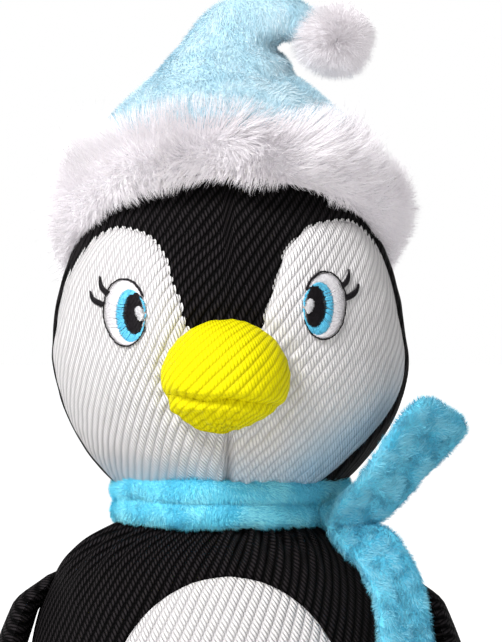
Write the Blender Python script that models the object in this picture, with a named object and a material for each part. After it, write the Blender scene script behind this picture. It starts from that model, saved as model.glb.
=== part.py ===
"""Plush penguin in a soft winter hat and scarf: fabric panels, stuffing, squeaker and trims.

The part stands on z = 0 and faces -Y, with +Z up, and its origin is the middle of its base panel.
"left" is the penguin's own left, which is +X. Sizes are written in millimetres times MM.
"""

import math

import bmesh
import bpy
from mathutils import Matrix, Vector

MM = 0.001

# ---------------------------------------------------------------- driving dimensions
FABRIC = 1.2 * MM  # woven panel with its backing
GAP = 0.3 * MM  # between solids that touch
SEAM = 0.15 * MM  # half of the gap along a seam

HEAD_CENTRE = Vector((0, 0, 156 * MM))
HEAD_RADII = Vector((51 * MM, 46 * MM, 52 * MM))
HEAD_CROWN = 60 * MM  # height of the crown over the widest place, where the chin is 52 below it
HEAD_SEAM_Y = -5 * MM  # the seam over the crown and down both sides of the face
FACE_LOBE = [  # half of the white face: the forehead's edge, the lobe over an eye, then outwards
    (9.5 * MM, 156 * MM),
    (13 * MM, 168 * MM),
    (16 * MM, 178 * MM),
    (21.5 * MM, 187.5 * MM),
    (31 * MM, 191.5 * MM),
    (41 * MM, 188 * MM),
    (48.5 * MM, 175 * MM),
    (53 * MM, 158 * MM),
]
NECK_CENTRE = Vector((0, 0, 107 * MM))  # the head turns and nods about this point
NECK_RADIUS = 24 * MM

BODY_DEPTH = 0.85  # depth of the body as a share of its width
BODY_PROFILE = [  # height and half width of the body, from the base to the neck
    (1.5 * MM, 44 * MM),
    (6 * MM, 49 * MM),
    (15 * MM, 54 * MM),
    (32 * MM, 58.5 * MM),
    (50 * MM, 59.5 * MM),
    (68 * MM, 57.5 * MM),
    (82 * MM, 53.5 * MM),
    (92 * MM, 48.7 * MM),
    (98 * MM, 43.5 * MM),
    (103 * MM, 36 * MM),
]

BEAK_CENTRE = Vector((0, -47 * MM, 147 * MM))
BEAK_RADII = Vector((18.3 * MM, 17 * MM, 16.8 * MM))
MOUTH_Z = 140 * MM

BRIM_CENTRE = Vector((0, 6 * MM, 190 * MM))
BRIM_TILT = math.radians(-30)  # the front of the brim is higher than its back
BRIM_RADII = (44.5 * MM, 44 * MM)
BRIM_TUBE = (9 * MM, 12 * MM)  # half width outwards, half height

HAT_WALL = 1.8 * MM
HAT_RINGS = [  # centre, radius and backwards tilt in degrees of the hat's cone, from the brim up
    (Vector((0, 6 * MM, 190 * MM)), 42 * MM, -30),
    (Vector((0, 5 * MM, 205 * MM)), 41 * MM, -20),
    (Vector((0, 4 * MM, 219 * MM)), 37.5 * MM, -8),
    (Vector((0, 3.5 * MM, 227 * MM)), 29.5 * MM, -3),
    (Vector((0, 3 * MM, 233.5 * MM)), 22.3 * MM, 0),
    (Vector((0, 3 * MM, 239.5 * MM)), 16.5 * MM, 0),
]
HAT_FOLD = Vector((0, 3 * MM, 240 * MM))  # the tip flops over from here
HAT_TIP_RADIUS = 15 * MM
HAT_TIP_RINGS = [  # centre and radius of the tip above the fold, over to the penguin's left
    (Vector((2.4 * MM, 2.6 * MM, 245.5 * MM)), 12.8 * MM),
    (Vector((7.5 * MM, 2 * MM, 250 * MM)), 10 * MM),
    (Vector((14 * MM, 1 * MM, 251.5 * MM)), 7.2 * MM),
    (Vector((20 * MM, 0.3 * MM, 249.8 * MM)), 5 * MM),
    (Vector((24 * MM, 0, 247.5 * MM)), 4 * MM),
]
POMPOM_CENTRE = Vector((31 * MM, -1 * MM, 245 * MM))
POMPOM_RADIUS = 11.5 * MM

SCARF_INNER = 25.6 * MM
SCARF_OUTER = 34 * MM
SCARF_BOTTOM = 103.4 * MM
SCARF_TOP = 114.3 * MM
SCARF_DEPTH = 0.95  # depth of the scarf ring as a share of its width
SCARF_END_WIDTH = 18 * MM
SCARF_END_THICKNESS = 4.6 * MM
KNOT_CENTRE = Vector((32.5 * MM, -21.5 * MM, 109.5 * MM))
KNOT_RADII = Vector((7.5 * MM, 7.5 * MM, 5.5 * MM))
SCARF_ENDS = [  # name, path of the middle line, direction of the width, thickness
    (
        "scarf_end_upper",
        [
            Vector((40.5 * MM, -26 * MM, 112 * MM)),
            Vector((46 * MM, -26 * MM, 117.5 * MM)),
            Vector((54 * MM, -24 * MM, 126 * MM)),
            Vector((62 * MM, -21 * MM, 135.5 * MM)),
        ],
        Vector((0.72, 0, -0.69)),
        SCARF_END_THICKNESS,
    ),
    (
        "scarf_end_lower",
        [
            Vector((38.5 * MM, -31 * MM, 100 * MM)),
            Vector((44 * MM, -34 * MM, 93 * MM)),
            Vector((48 * MM, -37 * MM, 82 * MM)),
            Vector((50 * MM, -38.5 * MM, 69 * MM)),
            Vector((51 * MM, -39 * MM, 56 * MM)),
        ],
        Vector((0.62, 0.78, 0)),
        SCARF_END_THICKNESS,
    ),
]

FLIPPER_HINGE = Vector((56.2 * MM, 0, 88 * MM))
FLIPPER_SPLAY = math.radians(20)  # from straight down
FLIPPER_LENGTH = 60 * MM
FLIPPER_WIDTH = 26 * MM
FLIPPER_BULGE = 4.2 * MM  # how far each face stands out from the seam

FOOT_HINGE = Vector((22 * MM, -44 * MM, 6 * MM))
FOOT_LENGTH = 36 * MM
FOOT_WIDTH = 35 * MM
FOOT_HEIGHT = 13 * MM

TAIL_HINGE = Vector((0, 50 * MM, 22 * MM))
TAIL_LENGTH = 24 * MM
TAIL_WIDTH = 26 * MM
TAIL_BULGE = 3.5 * MM  # how far each face stands out from the seam

LABEL_LENGTH = 12 * MM
LABEL_EDGES = (16 * MM, 28 * MM)  # heights of its lower and upper edge
LABEL_THICKNESS = 0.5 * MM
LABEL_Y = 6 * MM

SQUEAKER_CENTRE = Vector((0, 0, 46 * MM))
SQUEAKER_RADIUS = 16 * MM
POCKET_RADIUS = 17 * MM
VINYL = 1.2 * MM

EYE_CENTRE = (28.7 * MM, 166 * MM)  # across and up, on the front of the head
EYE_RADII = (5.8 * MM, 9.1 * MM)
THREAD = 0.8 * MM  # height of the embroidery

SEGMENTS = 28  # round the head and the body
RINGS = 14  # over the head
SOFT_SEGMENTS = 20  # round the stuffing, which nobody sees
SOFT_RINGS = 10
SOFT_GAP = 1.2 * MM  # room for the coarser stuffing inside the finer panels

COLOURS = {  # linear base colour, roughness
    "white_twill": ((0.80, 0.78, 0.77), 0.6),
    "black_twill": ((0.012, 0.011, 0.013), 0.6),
    "yellow_twill": ((0.86, 0.78, 0.01), 0.6),
    "blue_minky": ((0.18, 0.60, 0.80), 0.9),
    "hat_minky": ((0.45, 0.75, 0.86), 0.9),
    "white_fur": ((0.82, 0.80, 0.81), 0.9),
    "stuffing": ((0.85, 0.85, 0.85), 1.0),
    "black_thread": ((0.01, 0.01, 0.012), 0.5),
    "blue_thread": ((0.08, 0.42, 0.68), 0.5),
    "white_thread": ((0.82, 0.80, 0.82), 0.5),
    "squeaker_vinyl": ((0.75, 0.78, 0.80), 0.4),
    "label_satin": ((0.85, 0.85, 0.84), 0.5),
}

for old in list(bpy.data.objects):
    bpy.data.objects.remove(old)


# ---------------------------------------------------------------- helpers
def material(name):
    """The named material, made once."""
    found = bpy.data.materials.get(name)
    if found:
        return found
    colour, roughness = COLOURS[name]
    made = bpy.data.materials.new(name)
    made.use_nodes = True
    shader = made.node_tree.nodes["Principled BSDF"]
    shader.inputs["Base Color"].default_value = (*colour, 1)
    shader.inputs["Roughness"].default_value = roughness
    shader.inputs["Metallic"].default_value = 0
    return made


def empty(name, place, parent=None):
    """An axis that moving pieces hang from."""
    made = bpy.data.objects.new(name, None)
    bpy.context.scene.collection.objects.link(made)
    made.location = place - (parent["place"] if parent else Vector())
    if parent:
        made.parent = parent["object"]
    return {"object": made, "place": place}


def add(name, bm, slot=None, axis=None):
    """A named object from a bmesh in the part's frame, with its origin on its joint's axis."""
    bmesh.ops.recalc_face_normals(bm, faces=bm.faces)
    mesh = bpy.data.meshes.new(name)
    bm.to_mesh(mesh)
    bm.free()
    return place(name, mesh, slot, axis)


def place(name, mesh, slot=None, axis=None):
    """Links a mesh as a named object. With no slot it is a cutter, which isn't part of the toy."""
    made = bpy.data.objects.new(name, mesh)
    bpy.context.scene.collection.objects.link(made)
    if axis:
        mesh.transform(Matrix.Translation(-axis["place"]))
        made.parent = axis["object"]
    if slot:
        mesh.materials.append(material(slot))
        mesh.shade_smooth()
        mesh.set_sharp_from_angle(angle=math.radians(40))
    else:
        made.hide_render = True
        made.display_type = "WIRE"
    return made


def cut(obj, cutter, operation="DIFFERENCE"):
    """A live Boolean on obj."""
    modifier = obj.modifiers.new(f"{operation.lower()}_{cutter.name}", "BOOLEAN")
    modifier.operation = operation
    modifier.solver = "EXACT"
    modifier.object = cutter
    return obj


def loft(rings, bm=None):
    """A closed solid through rings of points, each with the same number of points."""
    bm = bm or bmesh.new()
    made = [[bm.verts.new(p) for p in ring] for ring in rings]
    for low, high in zip(made, made[1:]):
        for i in range(len(low)):
            j = (i + 1) % len(low)
            bm.faces.new((low[i], low[j], high[j], high[i]))
    bm.faces.new(list(reversed(made[0])))
    bm.faces.new(made[-1])
    return bm


def tube_wall(outer, inner):
    """A closed wall between two sets of rings that start and end together, open at both ends."""
    bm = bmesh.new()
    path = outer + list(reversed(inner))
    made = [[bm.verts.new(p) for p in ring] for ring in path]
    for low, high in zip(made, made[1:] + made[:1]):
        for i in range(len(low)):
            j = (i + 1) % len(low)
            bm.faces.new((low[i], low[j], high[j], high[i]))
    return bm


def ellipsoid(centre, radii, segments=SEGMENTS, rings=RINGS, bm=None):
    """An ellipsoid, added to bm if one is given."""
    bm = bm or bmesh.new()
    where = Matrix.Translation(centre) @ Matrix.Diagonal((*radii, 1))
    bmesh.ops.create_uvsphere(
        bm, u_segments=segments, v_segments=rings, radius=1, matrix=where
    )
    return bm


def head_egg(inset=0.0, segments=SEGMENTS, rings=RINGS, bm=None):
    """The head's egg shape drawn in by inset, taller over its widest place than under it."""
    bm = bm or bmesh.new()
    made = bmesh.ops.create_uvsphere(bm, u_segments=segments, v_segments=rings, radius=1)
    radii = HEAD_RADII - Vector((inset,) * 3)
    for v in made["verts"]:
        up = HEAD_CROWN - inset if v.co.z > 0 else radii.z
        v.co = HEAD_CENTRE + Vector((v.co.x * radii.x, v.co.y * radii.y, v.co.z * up))
    return bm


def wall(outer, inner):
    """A hollow between two solids of the same kind, whose inner face is turned inwards."""
    bm = inner(None)
    bmesh.ops.reverse_faces(bm, faces=bm.faces)
    outer(bm)
    mesh = bpy.data.meshes.new("wall")
    bm.to_mesh(mesh)
    bm.free()
    return mesh


def head_wall(outset, thickness):
    """A layer of the head whose outer face stands outset clear of the head's own."""
    return wall(
        lambda bm: head_egg(-outset, bm=bm),
        lambda bm: head_egg(thickness - outset, bm=bm),
    )


def ellipsoid_wall(centre, radii, thickness, segments, rings):
    """A hollow ellipsoid."""
    inner = radii - Vector((thickness,) * 3)
    return wall(
        lambda bm: ellipsoid(centre, radii, segments, rings, bm),
        lambda bm: ellipsoid(centre, inner, segments, rings, bm),
    )


def box(name, low, high):
    """A box-shaped cutter between two corners."""
    bm = bmesh.new()
    low, high = Vector(low), Vector(high)
    where = Matrix.Translation((low + high) / 2) @ Matrix.Diagonal((*(high - low), 1))
    bmesh.ops.create_cube(bm, size=1, matrix=where)
    return add(name, bm)


def smooth(points, steps, closed=False):
    """Points along a Catmull-Rom curve through the given ones."""
    count = len(points)
    found = []
    for i in range(count if closed else count - 1):
        if closed:
            p = [points[(i + k) % count] for k in (-1, 0, 1, 2)]
        else:
            p = [points[min(max(i + k, 0), count - 1)] for k in (-1, 0, 1, 2)]
        for step in range(steps):
            t = step / steps
            found.append(
                tuple(
                    0.5
                    * (
                        2 * b
                        + (c - a) * t
                        + (2 * a - 5 * b + 4 * c - d) * t**2
                        + (3 * b - a - 3 * c + d) * t**3
                    )
                    for a, b, c, d in zip(*p)
                )
            )
    if not closed:
        found.append(tuple(points[-1]))
    return found


def prism(name, outline, low_y, high_y):
    """A cutter: an outline across and up, run from one depth to another."""
    rings = [[Vector((x, y, z)) for x, z in outline] for y in (low_y, high_y)]
    return add(name, loft(rings))


def ellipse(centre, radii, tilt=0.0, steps=20):
    """An outline across and up. A positive tilt leans its top to +X."""
    found = []
    for k in range(steps):
        a = 2 * math.pi * k / steps
        across, up = radii[0] * math.cos(a), radii[1] * math.sin(a)
        found.append(
            (
                centre[0] + across * math.cos(tilt) + up * math.sin(tilt),
                centre[1] - across * math.sin(tilt) + up * math.cos(tilt),
            )
        )
    return found


def mirrored(outline):
    return [(-x, z) for x, z in reversed(outline)]


# ---------------------------------------------------------------- joint axes
NECK_TURN = empty("neck_turn_axis", NECK_CENTRE)
NECK_NOD = empty("neck_nod_axis", NECK_CENTRE, NECK_TURN)
HAT_TIP = empty("hat_tip_axis", HAT_FOLD, NECK_NOD)


# ---------------------------------------------------------------- head
def neck_socket(name, radius):
    return add(name, ellipsoid(NECK_CENTRE, Vector((radius,) * 3), 24, 12))


def face_outline(spread):
    """The white face across and up, grown by spread along its curved edge."""
    half = [Vector(p) for p in smooth(FACE_LOBE, 3)]
    grown = []
    for i, p in enumerate(half):
        along = (half[min(i + 1, len(half) - 1)] - half[max(i - 1, 0)]).normalized()
        grown.append(tuple(p + spread * Vector((-along.y, along.x))))
    side, low, lowest = 60 * MM, 145 * MM, 95 * MM
    right = [(0, half[0].y + spread)] + grown + [(side, low), (side, lowest)]
    return right + mirrored(right)[:-1]


def build_head():
    """The head's stuffing, its five sewn panels and the ball of stuffing in the neck."""
    socket = neck_socket("cut_head_socket", NECK_RADIUS + 2 * GAP)
    skin_socket = neck_socket("cut_skin_socket", NECK_RADIUS + 3 * GAP)
    filling = head_egg(FABRIC + SOFT_GAP, SOFT_SEGMENTS, SOFT_RINGS)
    head = add("head_stuffing", filling, "stuffing", NECK_NOD)
    cut(head, socket)

    far = 80 * MM
    front, back = HEAD_SEAM_Y - SEAM, HEAD_SEAM_Y + SEAM
    top, low = 230 * MM, 100 * MM
    boxes = {
        "left": box("cut_left", (SEAM, -far, low), (far, far, top)),
        "right": box("cut_right", (-far, -far, low), (-SEAM, far, top)),
        "behind": box("cut_behind", (-far, back, low), (far, far, top)),
        "before": box("cut_before", (-far, -far, low), (far, front, top)),
    }
    face = prism("cut_face", face_outline(-SEAM), -far, front)
    not_face = prism("cut_not_face", face_outline(SEAM), -far, far)
    for name, slot, keep, drop in (
        ("face_panel_left", "white_twill", ("left",), None),
        ("face_panel_right", "white_twill", ("right",), None),
        ("forehead_panel", "black_twill", ("before",), not_face),
        ("head_back_panel_left", "black_twill", ("behind", "left"), None),
        ("head_back_panel_right", "black_twill", ("behind", "right"), None),
    ):
        panel = place(name, head_wall(0, FABRIC), slot, NECK_NOD)
        cut(panel, skin_socket)
        if name.startswith("face"):
            cut(panel, face, "INTERSECT")
        for key in keep:
            cut(panel, boxes[key], "INTERSECT")
        if drop:
            cut(panel, drop)

    ball = ellipsoid(NECK_CENTRE, Vector((NECK_RADIUS,) * 3), SOFT_SEGMENTS, SOFT_RINGS)
    add("neck_stuffing", ball, "stuffing", NECK_TURN)


# ---------------------------------------------------------------- eyes
def build_eye(side, sign):
    """One embroidered eye: outline with two lashes, white, iris, pupil and highlight."""
    x, z = EYE_CENTRE
    x *= sign
    lean = -0.10 * sign
    inwards = -sign

    def shifted(across, up):
        return (x + inwards * across * MM, z + up * MM)

    white_edge = ellipse((x, z), EYE_RADII, lean)
    shapes = {
        "outline": ellipse((x, z), (EYE_RADII[0] + 0.9 * MM, EYE_RADII[1] + 0.9 * MM), lean),
        "iris": ellipse(shifted(1.7, -0.7), (4.0 * MM, 7.4 * MM), lean),
        "pupil": ellipse(shifted(2.2, -0.2), (2.9 * MM, 5.6 * MM), lean),
        "highlight": ellipse(shifted(3.0, 0.8), (1.2 * MM, 2.0 * MM), 0, 12),
    }
    cutters = {}
    for name, outline in shapes.items():
        cutters[name] = prism(f"cut_{side}_{name}", outline, -70 * MM, -20 * MM)
    cutters["white"] = prism(f"cut_{side}_white", white_edge, -70 * MM, -20 * MM)

    def inner_hole(name, outline, grow):
        """The same shape a little larger, for the hole that the next piece sits in."""
        cx = sum(p[0] for p in outline) / len(outline)
        cz = sum(p[1] for p in outline) / len(outline)
        wider = []
        for px, pz in outline:
            reach = math.hypot(px - cx, pz - cz)
            wider.append(
                (cx + (px - cx) * (1 + grow / reach), cz + (pz - cz) * (1 + grow / reach))
            )
        return prism(f"cut_{side}_{name}_hole", wider, -70 * MM, -20 * MM)

    holes = {
        "outline": inner_hole("white", white_edge, GAP),
        "white": inner_hole("iris", shapes["iris"], GAP),
        "iris": inner_hole("pupil", shapes["pupil"], GAP),
        "pupil": inner_hole("highlight", shapes["highlight"], GAP),
    }
    slots = {
        "outline": "black_thread",
        "white": "white_thread",
        "iris": "blue_thread",
        "pupil": "black_thread",
        "highlight": "white_thread",
    }
    for name, slot in slots.items():
        layer = head_wall(GAP + THREAD, THREAD)
        piece = place(f"eye_{side}_{name}", layer, slot, NECK_NOD)
        cut(piece, cutters[name], "INTERSECT")
        if name in ("iris", "pupil"):
            cut(piece, cutters["white"], "INTERSECT")
        if name in holes:
            cut(piece, holes[name])

    for name, points in (
        ("upper", [(-6.4, 5.0), (-7.6, 7.6), (-7.0, 10.4), (-5.9, 7.6), (-5.7, 6.4)]),
        ("lower", [(-7.4, 2.1), (-9.2, 3.0), (-10.1, 6.2), (-8.3, 4.2), (-7.1, 4.2)]),
    ):
        outline = [shifted(across - 0.4, up) for across, up in points]
        if sign < 0:
            outline.reverse()
        layer = head_wall(GAP + THREAD, THREAD)
        lash = place(f"eye_{side}_lash_{name}", layer, "black_thread", NECK_NOD)
        cut(lash, prism(f"cut_{side}_lash_{name}", outline, -70 * MM, -20 * MM), "INTERSECT")


# ---------------------------------------------------------------- beak
def build_beak():
    """The beak's upper and lower panels, sewn together at the mouth, and its stuffing."""
    head = add("cut_beak_head", head_egg(-GAP))
    far = 40 * MM
    y = BEAK_CENTRE.y
    above = box("cut_above_mouth", (-far, y - far, MOUTH_Z + SEAM), (far, y + far, 0.2))
    below = box("cut_below_mouth", (-far, y - far, 0.1), (far, y + far, MOUTH_Z - SEAM))
    for name, keep in (("beak_upper_panel", above), ("beak_lower_panel", below)):
        ball = ellipsoid_wall(BEAK_CENTRE, BEAK_RADII, FABRIC, 22, 12)
        panel = place(name, ball, "yellow_twill", NECK_NOD)
        cut(panel, head)
        cut(panel, keep, "INTERSECT")
    filling = BEAK_RADII - Vector((FABRIC + SOFT_GAP,) * 3)
    solid = ellipsoid(BEAK_CENTRE, filling, 16, 8)
    cut(add("beak_stuffing", solid, "stuffing", NECK_NOD), head)


# ---------------------------------------------------------------- hat
def brim_rings(widen=0.0, steps=26, around=8):
    """Rings of a tilted oval tube, widened by the given amount."""
    turn = Matrix.Rotation(BRIM_TILT, 3, "X")
    rings = []
    for k in range(steps):
        a = 2 * math.pi * k / steps
        out = Vector((math.cos(a), math.sin(a), 0))
        middle = Vector((BRIM_RADII[0] * out.x, BRIM_RADII[1] * out.y, 0))
        ring = []
        for m in range(around):
            b = 2 * math.pi * m / around
            side = (BRIM_TUBE[0] + widen) * math.cos(b)
            up = (BRIM_TUBE[1] + widen) * math.sin(b)
            ring.append(BRIM_CENTRE + turn @ (middle + out * side + Vector((0, 0, up))))
        rings.append(ring)
    return rings


def ring_solid(rings):
    """A closed ring through sections that end where they start."""
    bm = bmesh.new()
    made = [[bm.verts.new(p) for p in ring] for ring in rings]
    for low, high in zip(made, made[1:] + made[:1]):
        for i in range(len(low)):
            j = (i + 1) % len(low)
            bm.faces.new((low[i], low[j], high[j], high[i]))
    return bm


def cone_rings(inset=0.0, around=20):
    """The hat cone's sections, drawn in by inset. They lie flatter towards the top."""
    rings = []
    for centre, radius, tilt in HAT_RINGS:
        turn = Matrix.Rotation(math.radians(tilt), 3, "X")
        ring = []
        for k in range(around):
            a = 2 * math.pi * k / around
            out = Vector((math.cos(a), math.sin(a), 0))
            ring.append(centre + turn @ (out * (radius - inset)))
        rings.append(ring)
    return rings


def tip_rings(around=14):
    """Sections of the hat's tip: a round heel that turns in the cone, then the flopped tip."""
    rings = []
    for k in range(1, 6):
        a = math.radians(90 * k / 5)
        drop, reach = HAT_TIP_RADIUS * math.cos(a), HAT_TIP_RADIUS * math.sin(a)
        rings.append((HAT_FOLD - Vector((0, 0, drop)), reach, Vector((0, 0, 1))))
    for i, (centre, radius) in enumerate(HAT_TIP_RINGS):
        before = HAT_TIP_RINGS[i - 1][0] if i else HAT_FOLD
        after = HAT_TIP_RINGS[min(i + 1, len(HAT_TIP_RINGS) - 1)][0]
        rings.append((centre, radius, (after - before).normalized()))
    found = []
    for centre, radius, along in rings:
        across = Vector((0, 1, 0)).cross(along).normalized()
        up = along.cross(across)
        angles = [2 * math.pi * k / around for k in range(around)]
        found.append(
            [centre + radius * (across * math.cos(a) + up * math.sin(a)) for a in angles]
        )
    return found


def build_hat():
    """The fur brim, the hat's cone with its filling, and its loose tip with the pompom."""
    head = add("cut_hat_head", head_egg(-GAP))
    brim = add("hat_brim_fur", ring_solid(brim_rings()), "white_fur", NECK_NOD)
    cut(brim, head)
    brim_space = add("cut_hat_brim", ring_solid(brim_rings(GAP)))
    heel = ellipsoid(HAT_FOLD, Vector((HAT_TIP_RADIUS + 2 * GAP,) * 3), 20, 12)
    heel_space = add("cut_hat_heel", heel)

    cone = tube_wall(cone_rings(), cone_rings(HAT_WALL))
    shell = add("hat_cone", cone, "hat_minky", NECK_NOD)
    solid = loft(cone_rings(HAT_WALL + 3 * GAP, 18))
    filling = add("hat_stuffing", solid, "stuffing", NECK_NOD)
    for piece in (shell, filling):
        cut(piece, head)
        cut(piece, brim_space)
        cut(piece, heel_space)

    near_pompom = Vector((POMPOM_RADIUS + GAP,) * 3)
    ball = add("cut_tip_pompom", ellipsoid(POMPOM_CENTRE, near_pompom, 20, 10))
    tip = add("hat_tip", loft(tip_rings()), "hat_minky", HAT_TIP)
    cut(tip, ball)
    pompom = ellipsoid(POMPOM_CENTRE, Vector((POMPOM_RADIUS,) * 3), 14, 8)
    add("pompom_fur", pompom, "white_fur", HAT_TIP)


# ---------------------------------------------------------------- body
def body_half_width(z):
    """The body's half width at a height, read off its profile."""
    for (low_z, low_w), (high_z, high_w) in zip(BODY_PROFILE, BODY_PROFILE[1:]):
        if z <= high_z:
            share = max(0.0, (z - low_z) / (high_z - low_z))
            return low_w + (high_w - low_w) * share
    return BODY_PROFILE[-1][1]


def body_rings(inset=0.0, bottom=0.0, segments=SEGMENTS):
    """Oval sections of the body, drawn in by inset, the lowest at bottom if that is given."""
    rings = []
    for i, (z, half) in enumerate(BODY_PROFILE):
        height = bottom if bottom and i == 0 else z
        ring = []
        for k in range(segments):
            a = 2 * math.pi * k / segments
            x = (half - inset) * math.cos(a)
            y = (half * BODY_DEPTH - inset) * math.sin(a)
            ring.append(Vector((x, y, height)))
        rings.append(ring)
    return rings


def build_body():
    """The body's four panels and base, its stuffing, and the squeaker in its pocket."""
    far = 90 * MM
    front_box = box("cut_body_front", (-far, -far, -far), (far, -SEAM, 2 * far))
    boxes = {
        "left": box("cut_body_left", (SEAM, SEAM, -far), (far, far, 2 * far)),
        "right": box("cut_body_right", (-far, SEAM, -far), (-SEAM, far, 2 * far)),
    }
    belly_centre = (0, 50 * MM)
    belly = prism(
        "cut_belly", ellipse(belly_centre, (35 * MM, 41 * MM), 0, 28), -far, -2 * MM
    )
    not_belly = prism(
        "cut_not_belly",
        ellipse(belly_centre, (35 * MM + GAP, 41 * MM + GAP), 0, 28),
        -far,
        -2 * MM,
    )
    for name, slot, keep, drop in (
        ("belly_panel", "white_twill", belly, None),
        ("body_front_panel", "black_twill", front_box, not_belly),
        ("body_back_panel_left", "black_twill", boxes["left"], None),
        ("body_back_panel_right", "black_twill", boxes["right"], None),
    ):
        panel = add(name, tube_wall(body_rings(), body_rings(FABRIC)), slot)
        cut(panel, keep, "INTERSECT")
        if drop:
            cut(panel, drop)

    half, depth = BODY_PROFILE[0][1], BODY_PROFILE[0][1] * BODY_DEPTH
    sections = []
    for z in (0, FABRIC):
        sections.append([Vector((x, y, z)) for x, y in ellipse((0, 0), (half, depth), 0, 32)])
    add("base_panel", loft(sections), "black_twill")

    floor = FABRIC + GAP
    solid = loft(body_rings(FABRIC + SOFT_GAP, floor, SOFT_SEGMENTS))
    stuffing = add("body_stuffing", solid, "stuffing")
    cut(stuffing, neck_socket("cut_body_socket", NECK_RADIUS + 2 * GAP))
    bm = bmesh.new()
    pocket_top = SQUEAKER_CENTRE.z + SQUEAKER_RADIUS + 2 * MM
    depth_down = pocket_top + 10 * MM
    bmesh.ops.create_cone(
        bm,
        cap_ends=True,
        segments=SOFT_SEGMENTS,
        radius1=POCKET_RADIUS,
        radius2=POCKET_RADIUS,
        depth=depth_down,
        matrix=Matrix.Translation((0, 0, pocket_top - depth_down / 2)),
    )
    cut(stuffing, add("cut_pocket", bm))

    bm = bmesh.new()
    plug_top = SQUEAKER_CENTRE.z - SQUEAKER_RADIUS - 4 * MM
    bmesh.ops.create_cone(
        bm,
        cap_ends=True,
        segments=SOFT_SEGMENTS,
        radius1=POCKET_RADIUS - GAP,
        radius2=POCKET_RADIUS - GAP,
        depth=plug_top - floor,
        matrix=Matrix.Translation((0, 0, (plug_top + floor) / 2)),
    )
    add("stuffing_plug", bm, "stuffing")


def build_squeaker():
    """The squeaker: a hollow vinyl bulb and the reed insert that closes its mouth."""
    mouth = 5 * MM
    radii = Vector((SQUEAKER_RADIUS,) * 3)
    bulb = place(
        "squeaker_bulb",
        ellipsoid_wall(SQUEAKER_CENTRE, radii, VINYL, 14, 8),
        "squeaker_vinyl",
    )

    def disc(name, radius, low, high, slot=None):
        bm = bmesh.new()
        bmesh.ops.create_cone(
            bm,
            cap_ends=True,
            segments=16,
            radius1=radius,
            radius2=radius,
            depth=high - low,
            matrix=Matrix.Translation((0, 0, (low + high) / 2)),
        )
        return add(name, bm, slot)

    low = SQUEAKER_CENTRE.z - SQUEAKER_RADIUS
    cut(bulb, disc("cut_squeaker_mouth", mouth, low - 5 * MM, low + 5 * MM))
    disc("squeaker_reed", mouth - GAP, low - 2 * MM, low + 3 * MM, "squeaker_vinyl")


# ---------------------------------------------------------------- padded limbs
def pad_rings(outline, height, inset=0.0, levels=3, swell=2.4):
    """Rings of a domed half pad over a flat outline (u, v), from its seam to its crown.

    Each ring is (u, v, w). The dome is full and flat-topped, as a stuffed limb is.
    """
    cu = sum(p[0] for p in outline) / len(outline)
    cv = sum(p[1] for p in outline) / len(outline)
    shrink = 1 - inset / min(math.hypot(p[0] - cu, p[1] - cv) for p in outline)
    rings = []
    for k in range(levels + 1):
        t = k / levels * 0.88
        scale = shrink * (1 - t**swell) ** (1 / swell) if k else shrink
        w = t * (height - inset)
        rings.append([(cu + (u - cu) * scale, cv + (v - cv) * scale, w) for u, v in outline])
    return rings


def limb(name, outline, height, where, slot, axis, flip=False):
    """A sewn half of a limb: a domed panel with a wall, lying on the plane w = 0 of where."""

    def placed(rings, lift):
        sign = -1 if flip else 1
        return [[where @ Vector((u, v, sign * (w + lift))) for u, v, w in r] for r in rings]

    outer = placed(pad_rings(outline, height), SEAM)
    inner = placed(pad_rings(outline, height, FABRIC), SEAM)
    bm = bmesh.new()
    skins = [[[bm.verts.new(p) for p in ring] for ring in rings] for rings in (outer, inner)]
    for rings in skins:
        for low, high in zip(rings, rings[1:]):
            for i in range(len(low)):
                j = (i + 1) % len(low)
                bm.faces.new((low[i], low[j], high[j], high[i]))
        bm.faces.new(rings[-1])
    count = len(skins[0][0])
    for i in range(count):
        j = (i + 1) % count
        bm.faces.new((skins[0][0][i], skins[0][0][j], skins[1][0][j], skins[1][0][i]))
    return add(name, bm, slot, axis)


def limb_stuffing(name, outline, up, down, where, axis):
    """The filling between two halves of a limb, or over a flat sole if down is 0."""
    inset = FABRIC + GAP
    top = pad_rings(outline, up - GAP, inset)
    if down:
        low = pad_rings(outline, down - GAP, inset)
        rings = [[(u, v, -w) for u, v, w in r] for r in reversed(low)][:-1] + top
    else:
        rings = top
    lift = 0 if down else SEAM
    solid = loft([[where @ Vector((u, v, w + lift)) for u, v, w in r] for r in rings])
    add(name, solid, "stuffing", axis)


def flipper_outline():
    """A paddle: length along u from the shoulder, width along v."""
    half = [
        (0, 0.30),
        (0.12, 0.42),
        (0.38, 0.50),
        (0.68, 0.42),
        (0.90, 0.24),
    ]
    edge = [(u * FLIPPER_LENGTH, v * FLIPPER_WIDTH) for u, v in half]
    edge += [(FLIPPER_LENGTH, 0)] + [(u, -v) for u, v in reversed(edge)]
    return smooth(edge, 2, closed=True)


def build_flipper(side, sign):
    """One flipper, sewn to the side of the body at the shoulder."""
    hinge = FLIPPER_HINGE.copy()
    hinge.x *= sign
    axis = empty(f"flipper_{side}_axis", hinge)
    down = Vector((sign * math.sin(FLIPPER_SPLAY), 0, -math.cos(FLIPPER_SPLAY)))
    width = Vector((0, sign, 0))
    out = down.cross(width)
    frame = Matrix((down, width, out)).transposed().to_4x4()
    where = Matrix.Translation(hinge) @ frame
    outline = flipper_outline()
    outer_flip = out.x * sign < 0
    name = f"flipper_{side}"
    limb(f"{name}_outer", outline, FLIPPER_BULGE, where, "black_twill", axis, outer_flip)
    limb(f"{name}_inner", outline, FLIPPER_BULGE, where, "black_twill", axis, not outer_flip)
    limb_stuffing(f"{name}_stuffing", outline, FLIPPER_BULGE, FLIPPER_BULGE, where, axis)


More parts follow.
